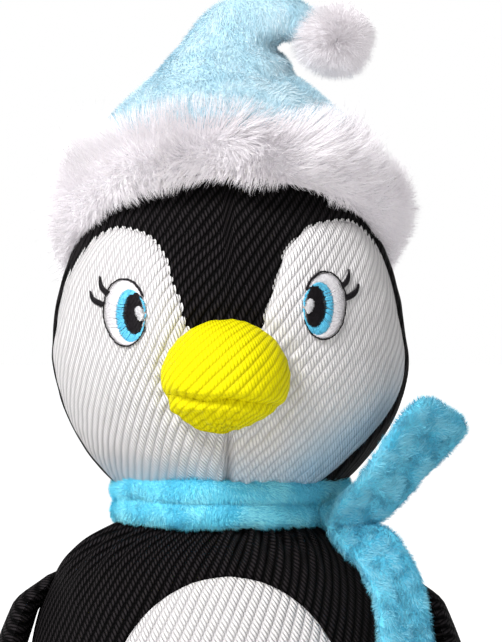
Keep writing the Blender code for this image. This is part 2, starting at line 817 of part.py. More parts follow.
def foot_outline():
    """A webbed foot with three toes: u forwards from the body, v across."""
    half = [
        (0, 0.26),
        (0.18, 0.40),
        (0.55, 0.50),
        (0.82, 0.46),
        (0.90, 0.32),
        (0.86, 0.19),
    ]
    edge = [(u * FOOT_LENGTH, v * FOOT_WIDTH) for u, v in half]
    edge += [(FOOT_LENGTH, 0)] + [(u, -v) for u, v in reversed(edge)]
    return smooth(edge, 2, closed=True)


def build_foot(side, sign):
    """One foot, sewn to the front of the body, with a flat sole on the floor."""
    hinge = FOOT_HINGE.copy()
    hinge.x *= sign
    axis = empty(f"foot_{side}_axis", hinge)
    forward = Vector((sign * 0.14, -1, 0)).normalized()
    across = Vector((0, 0, 1)).cross(forward)
    frame = Matrix((forward, across, Vector((0, 0, 1)))).transposed().to_4x4()
    ground = Vector((hinge.x, hinge.y, 0))
    outline = foot_outline()
    sole_where = Matrix.Translation(ground) @ frame
    sole = [[sole_where @ Vector((u, v, w)) for u, v in outline] for w in (0, FABRIC)]
    name = f"foot_{side}"
    add(f"{name}_sole", loft(sole), "yellow_twill", axis)
    where = Matrix.Translation(ground + Vector((0, 0, FABRIC + SEAM))) @ frame
    height = FOOT_HEIGHT - FABRIC - GAP
    limb(f"{name}_upper", outline, height, where, "yellow_twill", axis)
    limb_stuffing(f"{name}_stuffing", outline, height, 0, where, axis)


def build_tail():
    """The short tail, two sewn halves at the back of the body."""
    axis = empty("tail_axis", TAIL_HINGE)
    back = Vector((0, math.cos(0.3), -math.sin(0.3)))
    across = Vector((-1, 0, 0))
    frame = Matrix((back, across, back.cross(across))).transposed().to_4x4()
    where = Matrix.Translation(TAIL_HINGE) @ frame
    half = [(0, 0.42), (0.25, 0.50), (0.60, 0.36), (0.88, 0.14)]
    edge = [(u * TAIL_LENGTH, v * TAIL_WIDTH) for u, v in half]
    edge += [(TAIL_LENGTH, 0)] + [(u, -v) for u, v in reversed(edge)]
    outline = smooth(edge, 1, closed=True)
    limb("tail_upper", outline, TAIL_BULGE, where, "black_twill", axis)
    limb("tail_lower", outline, TAIL_BULGE, where, "black_twill", axis, flip=True)
    limb_stuffing("tail_stuffing", outline, TAIL_BULGE, TAIL_BULGE, where, axis)


# ---------------------------------------------------------------- scarf
def out_of(point):
    """A step of one gap outwards from the middle of the scarf's section."""
    ring = Vector((point.x, point.y / SCARF_DEPTH, 0))
    middle = ring.normalized() * (SCARF_INNER + SCARF_OUTER) / 2
    away = Vector((ring.x, ring.y, point.z)) - Vector((middle.x, middle.y, 109 * MM))
    return away.normalized() * 2 * GAP


def strip(name, path, width, thickness, axis):
    """A flat padded strip. Each step of the path is its centre and the direction of its width."""
    count = len(path)
    rings = []
    for i, (centre, across) in enumerate(path):
        before, after = path[max(i - 1, 0)][0], path[min(i + 1, count - 1)][0]
        along = (after - before).normalized()
        side = (across - along * across.dot(along)).normalized()
        face = along.cross(side)
        ring = []
        for u, w in ellipse((0, 0), (1, 1), 0, 12):
            flat = math.copysign(abs(u) ** 0.6, u) * width / 2
            thick = math.copysign(abs(w) ** 0.8, w) * thickness / 2
            ring.append(centre + side * flat + face * thick)
        rings.append(ring)
    return add(name, loft(rings), "blue_minky", axis)


def build_scarf():
    """The scarf's rolled band round the neck, its knot, and its two loose ends."""
    section = [
        (SCARF_INNER, SCARF_BOTTOM),
        (SCARF_OUTER - 2 * MM, SCARF_BOTTOM),
        (SCARF_OUTER, SCARF_BOTTOM + 3 * MM),
        (SCARF_OUTER, SCARF_TOP - 2 * MM),
        (SCARF_OUTER - 1.5 * MM, SCARF_TOP - 0.6 * MM),
        (SCARF_INNER, SCARF_TOP - 6 * MM),
    ]
    rings = []
    steps = 28
    for k in range(steps):
        a = 2 * math.pi * k / steps
        turn = Vector((math.cos(a), math.sin(a) * SCARF_DEPTH, 0))
        rings.append([turn * r + Vector((0, 0, z)) for r, z in section])
    add("scarf_band", ring_solid(rings), "blue_minky")
    around = add("cut_knot_band", ring_solid([[p + out_of(p) for p in r] for r in rings]))

    knot = add("scarf_knot", ellipsoid(KNOT_CENTRE, KNOT_RADII, 16, 10), "blue_minky")
    cut(knot, around)

    for name, path, across, thickness in SCARF_ENDS:
        axis = empty(f"{name}_axis", path[0])
        strip(name, [(point, across) for point in path], SCARF_END_WIDTH, thickness, axis)


def build_label():
    """A small blank fabric label, caught in the side seam near the base."""
    inner = body_half_width(LABEL_EDGES[1]) + GAP
    bm = bmesh.new()
    low = Vector((-inner - LABEL_LENGTH, LABEL_Y, LABEL_EDGES[0]))
    high = Vector((-inner, LABEL_Y + LABEL_THICKNESS, LABEL_EDGES[1]))
    where = Matrix.Translation((low + high) / 2) @ Matrix.Diagonal((*(high - low), 1))
    bmesh.ops.create_cube(bm, size=1, matrix=where)
    add("care_label", bm, "label_satin")


build_head()
for side_name, direction in (("left", 1), ("right", -1)):
    build_eye(side_name, direction)
    build_flipper(side_name, direction)
    build_foot(side_name, direction)
build_beak()
build_hat()
build_body()
build_squeaker()
build_tail()
build_scarf()
build_label()
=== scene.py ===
"""Looks of the plush penguin: sewn twill panels, embroidery, minky hat and scarf, faux fur.

Lengths are in millimetres in the tables and helpers, and in metres once a mesh is made.
The toy faces -Y. "left" is the penguin's own left, +X.
"""

import math

import bpy
import numpy as np
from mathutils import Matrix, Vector, noise
from mathutils.kdtree import KDTree


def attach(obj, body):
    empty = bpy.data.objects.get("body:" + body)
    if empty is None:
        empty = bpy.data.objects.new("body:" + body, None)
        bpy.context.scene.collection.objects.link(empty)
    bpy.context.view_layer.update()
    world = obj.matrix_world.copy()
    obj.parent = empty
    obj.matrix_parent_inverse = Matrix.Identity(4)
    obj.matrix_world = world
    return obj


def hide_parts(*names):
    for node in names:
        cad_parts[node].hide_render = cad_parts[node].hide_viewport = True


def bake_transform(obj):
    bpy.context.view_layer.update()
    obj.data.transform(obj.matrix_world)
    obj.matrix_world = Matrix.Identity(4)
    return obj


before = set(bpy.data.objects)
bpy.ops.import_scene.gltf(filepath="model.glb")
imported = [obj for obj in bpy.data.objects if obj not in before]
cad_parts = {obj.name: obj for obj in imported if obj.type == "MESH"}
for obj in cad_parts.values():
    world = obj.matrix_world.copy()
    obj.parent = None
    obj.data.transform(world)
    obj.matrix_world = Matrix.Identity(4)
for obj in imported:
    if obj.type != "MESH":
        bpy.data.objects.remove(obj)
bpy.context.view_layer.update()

MM = 0.001
RNG = np.random.default_rng(7)

# ---------------------------------------------------------------- shape of the head, as in the frame
HEAD = np.array([0, 0, 156.0])
HEAD_R = np.array([51.0, 46.0, 52.0])
CROWN = 60.0  # height over the widest place
BEAK = np.array([-0.7, -47.0, 147.0])
BEAK_R = np.array([18.2, 17.0, 16.4])
BODY_DEPTH = 0.85  # depth of the body as a share of its width
BELLY = (35, 50, 41)  # half width, middle height and half height of the belly's oval
BASE_R = 43.8
BRIM = np.array([0, 6.0, 190.0])
BRIM_TILT = math.radians(-30)
BRIM_R = (44.5, 44.0)
BRIM_TUBE = (5.2, 8.2)  # half width and half height of the brim's backing
POMPOM = np.array([31.0, -1, 245])

# ---------------------------------------------------------------- fabric and trims
FLOAT = 1.3  # length of one float along a rib
HEM = 1.2
TWIST = 0.42  # length of one turn of a thread
BRIM_FIBRES = 84000
POMPOM_FIBRES = 24000
DEEPEST = -0.95  # how far a groove in the head sinks, so that the filling stays covered
TAPER = 0.75  # how much thinner a fibre is at its tip
ROUND = 5.0  # length over which a scarf end's corners are rounded off


# ---------------------------------------------------------------- small maths helpers
def smoothstep(a, b, x):
    t = np.clip((x - a) / (b - a), 0, 1)
    return t * t * (3 - 2 * t)


def hump(x, width):
    """A smooth bump: 1 where x is 0, and falling away over the width on both sides."""
    return np.exp(-((x / width) ** 2))


def unit(v):
    return v / np.maximum(np.linalg.norm(v, axis=-1, keepdims=True), 1e-12)


def catmull(points, steps, closed=False):
    """Points along a smooth curve through the rows of an array."""
    p = np.asarray(points, float)
    n = len(p)
    out = []
    for i in range(n if closed else n - 1):
        if closed:
            a, b, c, d = (p[(i + k) % n] for k in (-1, 0, 1, 2))
        else:
            a, b, c, d = (p[min(max(i + k, 0), n - 1)] for k in (-1, 0, 1, 2))
        for s in range(steps):
            t = s / steps
            out.append(
                0.5
                * (2 * b + (c - a) * t + (2 * a - 5 * b + 4 * c - d) * t**2 + (3 * b - a - 3 * c + d) * t**3)
            )
    if not closed:
        out.append(p[-1])
    return np.array(out)


def field(points, scale, seed=0.0):
    """Smooth noise from -1 to 1 at each point; scale is the size of a lump in mm."""
    k = 1.0 / scale
    return np.array([noise.noise((x * k + seed, y * k - seed, z * k + 3 * seed)) for x, y, z in points])


def swirls(points, scale, seeds=(1.0, 2.0, 3.0)):
    """A smoothly wandering direction at each point."""
    return np.stack([field(points, scale, seed) for seed in seeds], -1)


def outline_distance(q, line):
    """Signed distance from points to a closed outline, positive inside."""
    best = np.full(len(q), 1e9)
    inside = np.zeros(len(q), bool)
    for (ax, ay), (bx, by) in zip(line, np.roll(line, -1, axis=0)):
        dx, dy = bx - ax, by - ay
        t = np.clip(((q[:, 0] - ax) * dx + (q[:, 1] - ay) * dy) / (dx * dx + dy * dy + 1e-12), 0, 1)
        d = np.hypot(q[:, 0] - ax - t * dx, q[:, 1] - ay - t * dy)
        best = np.minimum(best, d)
        crossing = (ay > q[:, 1]) != (by > q[:, 1])
        with np.errstate(divide="ignore", invalid="ignore"):
            at = (bx - ax) * (q[:, 1] - ay) / (by - ay) + ax
        inside ^= crossing & (q[:, 0] < at)
    return np.where(inside, best, -best)


# ---------------------------------------------------------------- mesh helpers
def make(name, verts_mm, faces, material, body, replaces=(), slot=None, attrs=None):
    """A mesh piece from points in mm, riding on a body, or on none."""
    mesh = bpy.data.meshes.new(name)
    verts = np.asarray(verts_mm, float) * MM
    if isinstance(faces, np.ndarray):
        count, corners = faces.shape
        mesh.vertices.add(len(verts))
        mesh.vertices.foreach_set("co", verts.ravel())
        mesh.loops.add(count * corners)
        mesh.loops.foreach_set("vertex_index", faces.ravel().astype(np.int32))
        mesh.polygons.add(count)
        mesh.polygons.foreach_set("loop_start", np.arange(count, dtype=np.int32) * corners)
        mesh.update(calc_edges=True)
    else:
        mesh.from_pydata(verts.tolist(), [], [list(map(int, f)) for f in faces])
    mesh.validate()
    for key, values in (attrs or {}).items():
        kind, entry = ("FLOAT_VECTOR", "vector") if values.ndim == 2 else ("FLOAT", "value")
        layer = mesh.attributes.new(key, kind, "POINT")
        layer.data.foreach_set(entry, values.astype(np.float32).ravel())
    mesh.polygons.foreach_set("use_smooth", np.ones(len(mesh.polygons), bool))
    mesh.materials.append(material)
    obj = bpy.data.objects.new(name, mesh)
    bpy.context.scene.collection.objects.link(obj)
    if body:
        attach(obj, body)
    if replaces:
        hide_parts(*replaces)
    return obj


def grid_faces(rows, columns, wrap=True):
    """Quads of a grid of rows by columns, each row joined round if wrap is set."""
    across = columns if wrap else columns - 1
    i, j = np.meshgrid(np.arange(rows - 1), np.arange(across), indexing="ij")
    k = (j + 1) % columns
    low, high = i * columns, (i + 1) * columns
    return np.stack([low + j, low + k, high + k, high + j], -1).reshape(-1, 4)


def ring_faces(rows, columns):
    """Quads of a closed ring: the last row joins the first."""
    last = grid_faces(2, columns)
    last = np.where(last >= columns, last - columns, last + (rows - 1) * columns)
    return np.concatenate([grid_faces(rows, columns), last])


def cube_sphere(n):
    """Unit directions and quads of a sphere made of six square grids, with shared edges."""
    t = np.tan(np.linspace(-math.pi / 4, math.pi / 4, n + 1))
    u, v = np.meshgrid(t, t, indexing="ij")
    one = np.ones_like(u)
    sides = [(one, u, v), (-one, -u, v), (-u, one, v), (u, -one, v), (-v, u, one), (v, u, -one)]
    points, faces = [], []
    for k, side in enumerate(sides):
        points.append(np.stack([s.ravel() for s in side], -1))
        faces.append(grid_faces(n + 1, n + 1, wrap=False)[:, ::-1] + k * (n + 1) ** 2)
    points = unit(np.concatenate(points))
    keys = np.round(points * 1e5).astype(np.int64)
    _, first, back = np.unique(keys, axis=0, return_index=True, return_inverse=True)
    faces = back.ravel()[np.concatenate(faces)]
    return points[first], faces


def vertex_normals(p, faces):
    a = p[faces[:, 2]] - p[faces[:, 0]]
    b = p[faces[:, 3]] - p[faces[:, 1]]
    n = np.cross(a, b)
    out = np.zeros_like(p)
    for k in range(4):
        np.add.at(out, faces[:, k], n)
    return unit(out)


def outward(p, faces, out):
    """The faces turned to look along out, and the points' normals."""
    if (vertex_normals(p, faces) * out).sum(1).mean() < 0:
        faces = faces[:, ::-1]
    return faces, vertex_normals(p, faces)


def snap_to_seams(p, faces, classes, fields, project):
    """Moves the points between two classes of faces onto the seam between them."""
    touch = {c: np.zeros(len(p), bool) for c in np.unique(classes)}
    for c in touch:
        touch[c][faces[classes == c].ravel()] = True
    for _ in range(5):
        for (a, b), f in fields:
            if a not in touch or b not in touch:
                continue
            on = np.flatnonzero(touch[a] & touch[b])
            if not len(on):
                continue
            q = p[on]
            f0 = f(q)
            grad = np.stack([(f(q + h) - f(q - h)) / 0.4 for h in np.eye(3) * 0.2], -1)
            step = f0[:, None] * grad / np.maximum((grad**2).sum(1), 1e-3)[:, None]
            size = np.linalg.norm(step, axis=1, keepdims=True)
            p[on] = project(q - step * np.minimum(1, 0.8 / np.maximum(size, 1e-9)))
    return p


def cut_panel(p, normals, faces, keep, attrs, hem):
    """The faces of one panel, with a hem turned inwards along its edge."""
    own = faces[keep]
    used = np.unique(own)
    new = np.full(len(p), -1)
    new[used] = np.arange(len(used))
    own = new[own]
    q, n = p[used], normals[used]
    edges = np.concatenate([own[:, [k, (k + 1) % 4]] for k in range(4)])
    key = np.sort(edges, axis=1)
    _, back, count = np.unique(key, axis=0, return_inverse=True, return_counts=True)
    rim = edges[count[back.ravel()] == 1]
    rim_verts = np.unique(rim)
    low = np.full(len(q), -1)
    low[rim_verts] = np.arange(len(rim_verts)) + len(q)
    hem_faces = np.stack([rim[:, 1], rim[:, 0], low[rim[:, 0]], low[rim[:, 1]]], -1)
    q2 = np.concatenate([q, q[rim_verts] - n[rim_verts] * hem])
    out = {k: np.concatenate([v[used], v[used][rim_verts]]) for k, v in attrs.items()}
    return q2, np.concatenate([own, hem_faces]), out


def sew(panels, p, normals, faces, classes, attrs, body, hem=HEM):
    """One padded piece for each class of faces. A panel is its name, material, CAD node and slot."""
    for key, (name, material, node, slot) in enumerate(panels):
        q, f, a = cut_panel(p, normals, faces, classes == key, attrs, hem)
        make(name, q, f, MATERIALS[material], body, (node,), slot, attrs=a)


def tube(points, radii, sides):
    """Points and faces of a closed tube along a path, with one radius at each step."""
    n = len(points)
    along = unit(np.gradient(points, axis=0))
    ref = np.array([0.31, 0.17, 0.93])
    side = unit(np.cross(along, ref))
    up = np.cross(side, along)
    a = np.linspace(0, 2 * math.pi, sides, endpoint=False)
    ring = np.cos(a)[None, :, None] * side[:, None] + np.sin(a)[None, :, None] * up[:, None]
    verts = (points[:, None] + ring * radii[:, None, None]).reshape(-1, 3)
    ends = [list(range(sides))[::-1], [(n - 1) * sides + k for k in range(sides)]]
    return verts, grid_faces(n, sides).tolist() + ends


def join(parts):
    """Several (points, faces) pairs as one."""
    verts, faces, base = [], [], 0
    for v, f in parts:
        verts.append(v)
        faces.extend([[i + base for i in face] for face in f])
        base += len(v)
    return np.concatenate(verts), faces


# ---------------------------------------------------------------- materials
class Graph:
    """A little wrapper that adds nodes to a material and links them in one call."""

    def __init__(self, name):
        self.material = bpy.data.materials.new(name)
        self.material.use_nodes = True
        self.tree = self.material.node_tree
        self.shader = self.tree.nodes["Principled BSDF"]

    def node(self, kind, inputs=None, **settings):
        made = self.tree.nodes.new(kind)
        for key, value in settings.items():
            setattr(made, key, value)
        for key, value in (inputs or {}).items():
            self.plug(made.inputs[key], value)
        return made

    def plug(self, socket, value):
        if isinstance(value, bpy.types.NodeSocket):
            self.tree.links.new(value, socket)
        else:
            socket.default_value = value

    def math(self, operation, a, b=0.0, clamp=False):
        made = self.node("ShaderNodeMath", operation=operation, use_clamp=clamp)
        self.plug(made.inputs[0], a)
        self.plug(made.inputs[1], b)
        return made.outputs[0]

    def add(self, a, b):
        return self.math("ADD", a, b)

    def sub(self, a, b, clamp=False):
        return self.math("SUBTRACT", a, b, clamp)

    def mul(self, a, b):
        return self.math("MULTIPLY", a, b)

    def power(self, a, b):
        return self.math("POWER", a, b)

    def mix(self, share, a, b, blend="MIX"):
        made = self.node("ShaderNodeMix", data_type="RGBA", blend_type=blend)
        self.plug(made.inputs[0], share)
        for socket, value in ((made.inputs[6], a), (made.inputs[7], b)):
            self.plug(socket, value if isinstance(value, bpy.types.NodeSocket) else (*value[:3], 1))
        return made.outputs[2]

    def noise(self, vector, scale, detail=2.0, roughness=0.5, distortion=0.0):
        inputs = {"Vector": vector, "Scale": scale, "Detail": detail}
        inputs.update({"Roughness": roughness, "Distortion": distortion})
        return self.node("ShaderNodeTexNoise", inputs).outputs[0]

    def ramp(self, value, low, high):
        return self.node("ShaderNodeMapRange", {"Value": value, "From Min": low, "From Max": high}).outputs[0]

    def attribute(self, name, vector=False):
        made = self.node("ShaderNodeAttribute", attribute_name=name)
        return made.outputs["Vector" if vector else "Fac"]

    def position(self):
        return self.node("ShaderNodeTexCoord").outputs["Object"]

    def split(self, vector):
        return self.node("ShaderNodeSeparateXYZ", {"Vector": vector}).outputs

    def bump(self, height, distance_mm):
        return self.node("ShaderNodeBump", {"Height": height, "Distance": distance_mm * MM}).outputs[0]

    def finish(self, colour, roughness, normal=None, **uniform):
        self.plug(self.shader.inputs["Base Color"], colour)
        self.plug(self.shader.inputs["Roughness"], roughness)
        if normal:
            self.plug(self.shader.inputs["Normal"], normal)
        for key, value in uniform.items():
            self.shader.inputs[key.replace("_", " ")].default_value = value
        return self.material


def twill(name, light, dark, angle, rib=2.6, depth=0.7, specular=0.15, crisp=1.0, grain=0.68, lay=1.5,
          teeth=None):
    """Corded twill, its ribs at angle degrees over the weave coordinates.

    rib is their spacing, crisp narrows the light crowns, grain deepens the gaps between floats, lay slants the
    floats, and teeth is the colour of the far cloth, which pokes over the white edge. light colours the crowns
    and dark is painted shade in the grooves; on black cloth the light crowns are painted glints.
    """
    g = Graph(name)
    weave = g.attribute("weave", vector=True)
    x, y, _ = g.split(weave)
    x = g.add(x, g.mul(g.sub(g.noise(weave, 60.0, 2.0), 0.5), 1.1 * MM))
    s, c = math.sin(math.radians(angle)), math.cos(math.radians(angle))
    across = g.sub(g.mul(x, s / (rib * MM)), g.mul(y, c / (rib * MM)))
    along = g.add(g.mul(x, c / (FLOAT * MM)), g.mul(y, s / (FLOAT * MM)))
    place = g.math("FRACT", across)
    slant = g.add(g.add(along, g.mul(place, lay)), g.mul(g.math("FLOOR", across), 0.37))
    ply = g.math("ABSOLUTE", g.sub(g.mul(g.math("FRACT", slant), 2.0), 1.0))
    off = g.math("ABSOLUTE", g.sub(g.mul(place, 2.0), 1.0))
    off = g.add(off, g.mul(g.power(ply, 2.0), 0.14))
    crown = g.sub(1.0, g.power(off, 2.4), clamp=True)
    height = g.mul(crown, g.sub(1.0, g.mul(g.power(ply, 2.6), grain)))
    fuzz = g.noise(weave, 5000.0, 1.0)
    # painted shade: the colour falls from light on the rib crowns to dark in the grooves between ribs and floats
    colour = g.mix(g.power(g.ramp(height, 0.0, 0.9), crisp), dark, light)
    patch = g.ramp(g.noise(g.position(), 55.0, 3.0), 0.3, 0.7)
    colour = g.mix(g.mul(patch, 0.06), colour, dark)
    # painted shade: the cloth darkens close to a seam, where its groove lies in shadow
    near = g.sub(1.0, g.ramp(g.attribute("seam"), 0.2, 1.4))
    colour = g.mix(g.mul(near, 0.3), colour, dark)
    # painted reflection and painted shade: the white cloth turns blue and darker beside the scarf, for the
    # scarf's reflected light and the shade over the band
    colour = g.mix(g.attribute("painted_scarf_bounce_and_shade"), colour, PAINTED_SCARF_BOUNCE_AND_SHADE)
    if teeth:
        tooth = g.mul(g.sub(height, 0.1), 0.85)
        colour = g.mix(g.math("LESS_THAN", g.attribute("white_edge"), tooth), colour, teeth)
    normal = g.bump(g.add(height, g.mul(fuzz, 0.12)), depth)
    return g.finish(colour, g.add(0.52, g.mul(fuzz, 0.2)), normal, Specular_IOR_Level=specular)


def minky(name, light, dark, swirl=85.0):
    """The cloth under a short pile, with brushed light and dark patches."""
    g = Graph(name)
    warped = g.node("ShaderNodeMapping", {"Vector": g.position(), "Scale": (1.0, 1.0, 0.55)}).outputs[0]
    patch = g.ramp(g.noise(warped, swirl, 4.0, 0.6, 1.2), 0.32, 0.68)
    fine = g.noise(warped, 900.0, 3.0, 0.7)
    colour = g.mix(g.mul(fine, 0.5), g.mix(patch, dark, light), dark)
    normal = g.bump(g.add(g.mul(patch, 0.6), fine), 0.9)
    rough = g.add(0.75, g.mul(fine, 0.2))
    return g.finish(colour, rough, normal, Sheen_Weight=0.15, Sheen_Roughness=0.45, Specular_IOR_Level=0.15)


def fibre(name, colour, glow=0.0):
    """One shade of loose fibre. Its detail is in its strands, so its values are plain.

    A little glow stands for the light that pale fibres pass on to one another.
    """
    g = Graph(name)
    g.plug(g.shader.inputs["Emission Color"], (*colour, 1))
    g.plug(g.shader.inputs["Emission Strength"], glow)
    return g.finish((*colour, 1), 0.75, Sheen_Weight=0.1, Sheen_Roughness=0.4, Specular_IOR_Level=0.15)


def thread(name, light, dark, specular=0.4):
    """Satin-stitch thread: a twisted, glossy filament."""
    g = Graph(name)
    x, _, z = g.split(g.position())
    twist = g.math("SINE", g.mul(g.add(z, g.mul(x, 0.6)), 2 * math.pi / (TWIST * MM)))
    speck = g.noise(g.position(), 1600.0, 2.0)
    colour = g.mix(g.ramp(speck, 0.3, 0.75), dark, light)
    normal = g.bump(g.add(g.mul(twist, 0.3), speck), 0.05)
    return g.finish(colour, g.add(0.32, g.mul(speck, 0.2)), normal, Specular_IOR_Level=specular)


def satin(name):
    """A woven satin label: fine cross threads and a soft shine."""
    g = Graph(name)
    x, y, z = g.split(g.position())
    weft = g.math("SINE", g.mul(z, 2 * math.pi / (0.4 * MM)))
    warp = g.math("SINE", g.mul(g.add(x, y), 2 * math.pi / (0.25 * MM)))
    weave = g.add(g.mul(weft, 0.5), g.mul(warp, 0.25))
    soil = g.noise(g.position(), 180.0, 4.0)
    colour = g.mix(g.ramp(weave, -0.8, 0.8), (0.70, 0.70, 0.69), (0.86, 0.86, 0.85))
    colour = g.mix(g.mul(soil, 0.15), colour, (0.5, 0.48, 0.45))
    return g.finish(colour, g.ramp(soil, -0.6, 1.6), g.bump(weave, 0.06), Specular_IOR_Level=0.5)


def fill(name):
    """Fluffy polyester filling."""
    g = Graph(name)
    lump = g.noise(g.position(), 220.0, 6.0, 0.7, 1.5)
    colour = g.mix(lump, (0.62, 0.62, 0.63), (0.9, 0.9, 0.9))
    return g.finish(colour, 0.9, g.bump(lump, 2.5), Sheen_Weight=0.5)


def vinyl(name):
    """The squeaker's milky vinyl, scuffed here and there."""
    g = Graph(name)
    scuff = g.noise(g.position(), 300.0, 5.0, 0.7)
    colour = g.mix(scuff, (0.62, 0.66, 0.7), (0.8, 0.82, 0.83))
    return g.finish(colour, g.ramp(scuff, 0.1, 1.4), g.bump(scuff, 0.15), Specular_IOR_Level=0.5)


# Twill colours come in pairs: the crown colour, then the darker one, which is painted shade in the grooves
# between ribs. The SKY and ICE pairs are the minky's random patches.
WHITE = (0.83, 0.81, 0.81)
WHITE_GROOVE_SHADE = (0.55, 0.53, 0.54)
BLACK = (0.020, 0.017, 0.0187)
BLACK_GROOVE_SHADE = (0.0005, 0.0004, 0.0005)
YELLOW = (0.85, 0.77, 0.002)
YELLOW_GROOVE_SHADE = (0.64, 0.55, 0.001)
SKY = (0.22, 0.76, 0.93)
SKY_LOW = (0.07, 0.47, 0.68)
ICE = (0.58, 0.75, 0.82)
ICE_LOW = (0.38, 0.62, 0.73)

PAINTED_SCARF_BOUNCE_AND_SHADE = (0.22, 0.52, 0.76)  # painted reflection and painted shade: the blue light the scarf throws on the white cloth beside it, darker than the cloth

# painted glints: crisp shrinks the lighter black crowns to small bright spots standing in for the floats'
# highlights
BLACK_TWILL = {"depth": 0.85, "specular": 0.05, "crisp": 3.4}
MATERIALS = {
    "white_left": twill("white_twill_left", WHITE, WHITE_GROOVE_SHADE, 49, 2.65, 0.55),
    "white_right": twill("white_twill_right", WHITE, WHITE_GROOVE_SHADE, 60),
    "belly": twill("white_twill_belly", WHITE, WHITE_GROOVE_SHADE, 70),
    "forehead": twill("black_twill_forehead", BLACK, BLACK_GROOVE_SHADE, 55, teeth=WHITE, **BLACK_TWILL),
    "black": twill("black_twill", BLACK, BLACK_GROOVE_SHADE, 60, **BLACK_TWILL),
    "body": twill("black_twill_body", BLACK, BLACK_GROOVE_SHADE, 71, **BLACK_TWILL),
    "yellow": twill("yellow_twill", YELLOW, YELLOW_GROOVE_SHADE, 48, 2.65, 0.42, 0.06, grain=0.4, lay=1.3),
    "scarf": minky("scarf_minky", SKY, SKY_LOW),
    "hat": minky("hat_minky", ICE, ICE_LOW, 60.0),
    "fur_base": minky("fur_backing", (0.93, 0.91, 0.93), (0.80, 0.78, 0.81), 120.0),
    "fur_a": fibre("fur_white", (0.93, 0.905, 0.925), glow=0.07),
    "fur_b": fibre("fur_cream", (0.91, 0.88, 0.90), glow=0.07),
    "fur_c": fibre("fur_shade", (0.88, 0.85, 0.88), glow=0.07),
    "scarf_a": fibre("scarf_pile_light", (0.33, 0.87, 0.98)),
    "scarf_b": fibre("scarf_pile_dark", (0.17, 0.72, 0.90)),
    # painted shade: the scarf ends' pile is the band's pile made darker and greyer, for ends turned away from the
    # key light
    "tail_a": fibre("scarf_end_pile_painted_shade_light", (0.25, 0.65, 0.80)),
    "tail_b": fibre("scarf_end_pile_painted_shade_dark", (0.13, 0.48, 0.64)),
    "hat_a": fibre("hat_pile_light", (0.66, 0.79, 0.85)),
    "hat_b": fibre("hat_pile_dark", (0.50, 0.70, 0.79)),
    "black_thread": thread("black_thread", (0.016, 0.013, 0.016), (0.003, 0.002, 0.003), 0.14),
    "white_thread": thread("white_thread", (0.86, 0.84, 0.86), (0.66, 0.63, 0.66)),
    "blue_thread": thread("blue_thread", (0.15, 0.62, 0.84), (0.07, 0.42, 0.66)),
    "silver_thread": thread("silver_thread", (0.78, 0.78, 0.80), (0.46, 0.45, 0.47)),
    "label": satin("satin_label"),
    "fill": fill("fibre_fill"),
    "vinyl": vinyl("squeaker_vinyl"),
}


# ---------------------------------------------------------------- head surface
def head_radii(v):
    """The head's three radii on the side of its middle that each row of v points to."""
    r = np.broadcast_to(HEAD_R, v.shape).copy()
    r[:, 2] = np.where(v[:, 2] > 0, CROWN, HEAD_R[2])
    return r


def egg(n):
    """The head's surface at unit directions n."""
    return HEAD + n * head_radii(n)


def egg_direction(p):
    return unit((p - HEAD) / head_radii(p - HEAD))


def onto_egg(p):
    return egg(egg_direction(p))


LOBE_LEFT = [  # edge of the white over the penguin's left eye, across and up
    (0.5, 150), (9.6, 161), (11.0, 166), (13.6, 173.5), (15.2, 178.7), (16.5, 182.8), (20.4, 187.4),
    (24, 190.2), (31.5, 191.9), (37, 190.9), (41.6, 186.2), (45.6, 180.6), (48.3, 173), (53, 158), (62, 150),
]
LOBE_RIGHT = [  # the same over its right eye
    (-0.5, 150), (-11.8, 161), (-13.7, 168), (-16.2, 174), (-17.5, 179.4), (-20.4, 184.7), (-24.6, 188.1),
    (-32.1, 189.8), (-38.2, 187.2), (-41.6, 183.8), (-44.7, 179), (-47.8, 173.5), (-52, 158), (-62, 150),
]


def lobe_outline(points):
    curve = catmull(points, 6)
    side = np.sign(points[-1][0])
    return np.concatenate([curve, [(side * 62, 90), (-side * 4, 90), (-side * 4, 150)]])


LOBES = (lobe_outline(LOBE_LEFT), lobe_outline(LOBE_RIGHT))


def in_lobe(p):
    """Distance inside the white face, across and up."""
    q = p[:, [0, 2]]
    return np.where(p[:, 0] > 0, outline_distance(q, LOBES[0]), outline_distance(q, LOBES[1]))


def in_front(p):
    """Distance in front of the seam over the crown, which comes further forward under the left cheek."""
    pull = smoothstep(0, 20, p[:, 0]) * (3 + 10 * smoothstep(150, 122, p[:, 2]))
    return -5 - pull - p[:, 1]


def head_bend(p):
    """How far the sewn surface stands out from the egg: seam grooves, gathers and soft lumps."""
    x, y, z = p.T
    lobe, front = in_lobe(p), in_front(p)
    d = -0.75 * hump(lobe, 1.5) * smoothstep(-2, 2, front)
    d += 0.55 * smoothstep(0.6, 5, lobe) * (1 - smoothstep(5, 16, lobe)) * (front > -6)
    d -= 0.8 * hump(front, 1.6)
    d -= 1.1 * hump(x, 1.3) * smoothstep(137, 128, z) * (y < 0)
    d -= 0.8 * hump(x, 1.6) * (y > 5)
    azimuth = np.arctan2(x, -y)
    pleat = np.sin(azimuth * 37 + 2.2 * np.sin(azimuth * 5)) * (0.5 + 0.5 * np.sin(azimuth * 3.3 + 1))
    d += 0.65 * pleat * smoothstep(126, 113, z)
    around = np.hypot(x / 1.05, z - BEAK[2]) - 18
    angle = np.arctan2(z - BEAK[2], x)
    pucker = np.sin(angle * 23 + 1.7 * np.sin(angle * 4))
    d += 0.32 * pucker * hump(around, 3.5) * (y < 0)
    d -= 0.7 * hump(around, 1.6) * (y < 0)
    d += 0.5 * field(p, 17.0, 2.0) + 0.22 * field(p, 6.0, 5.0)
    d += 1.5 * hump(z - 141, 13) * smoothstep(24, 44, x)
    return np.maximum(d, DEEPEST)


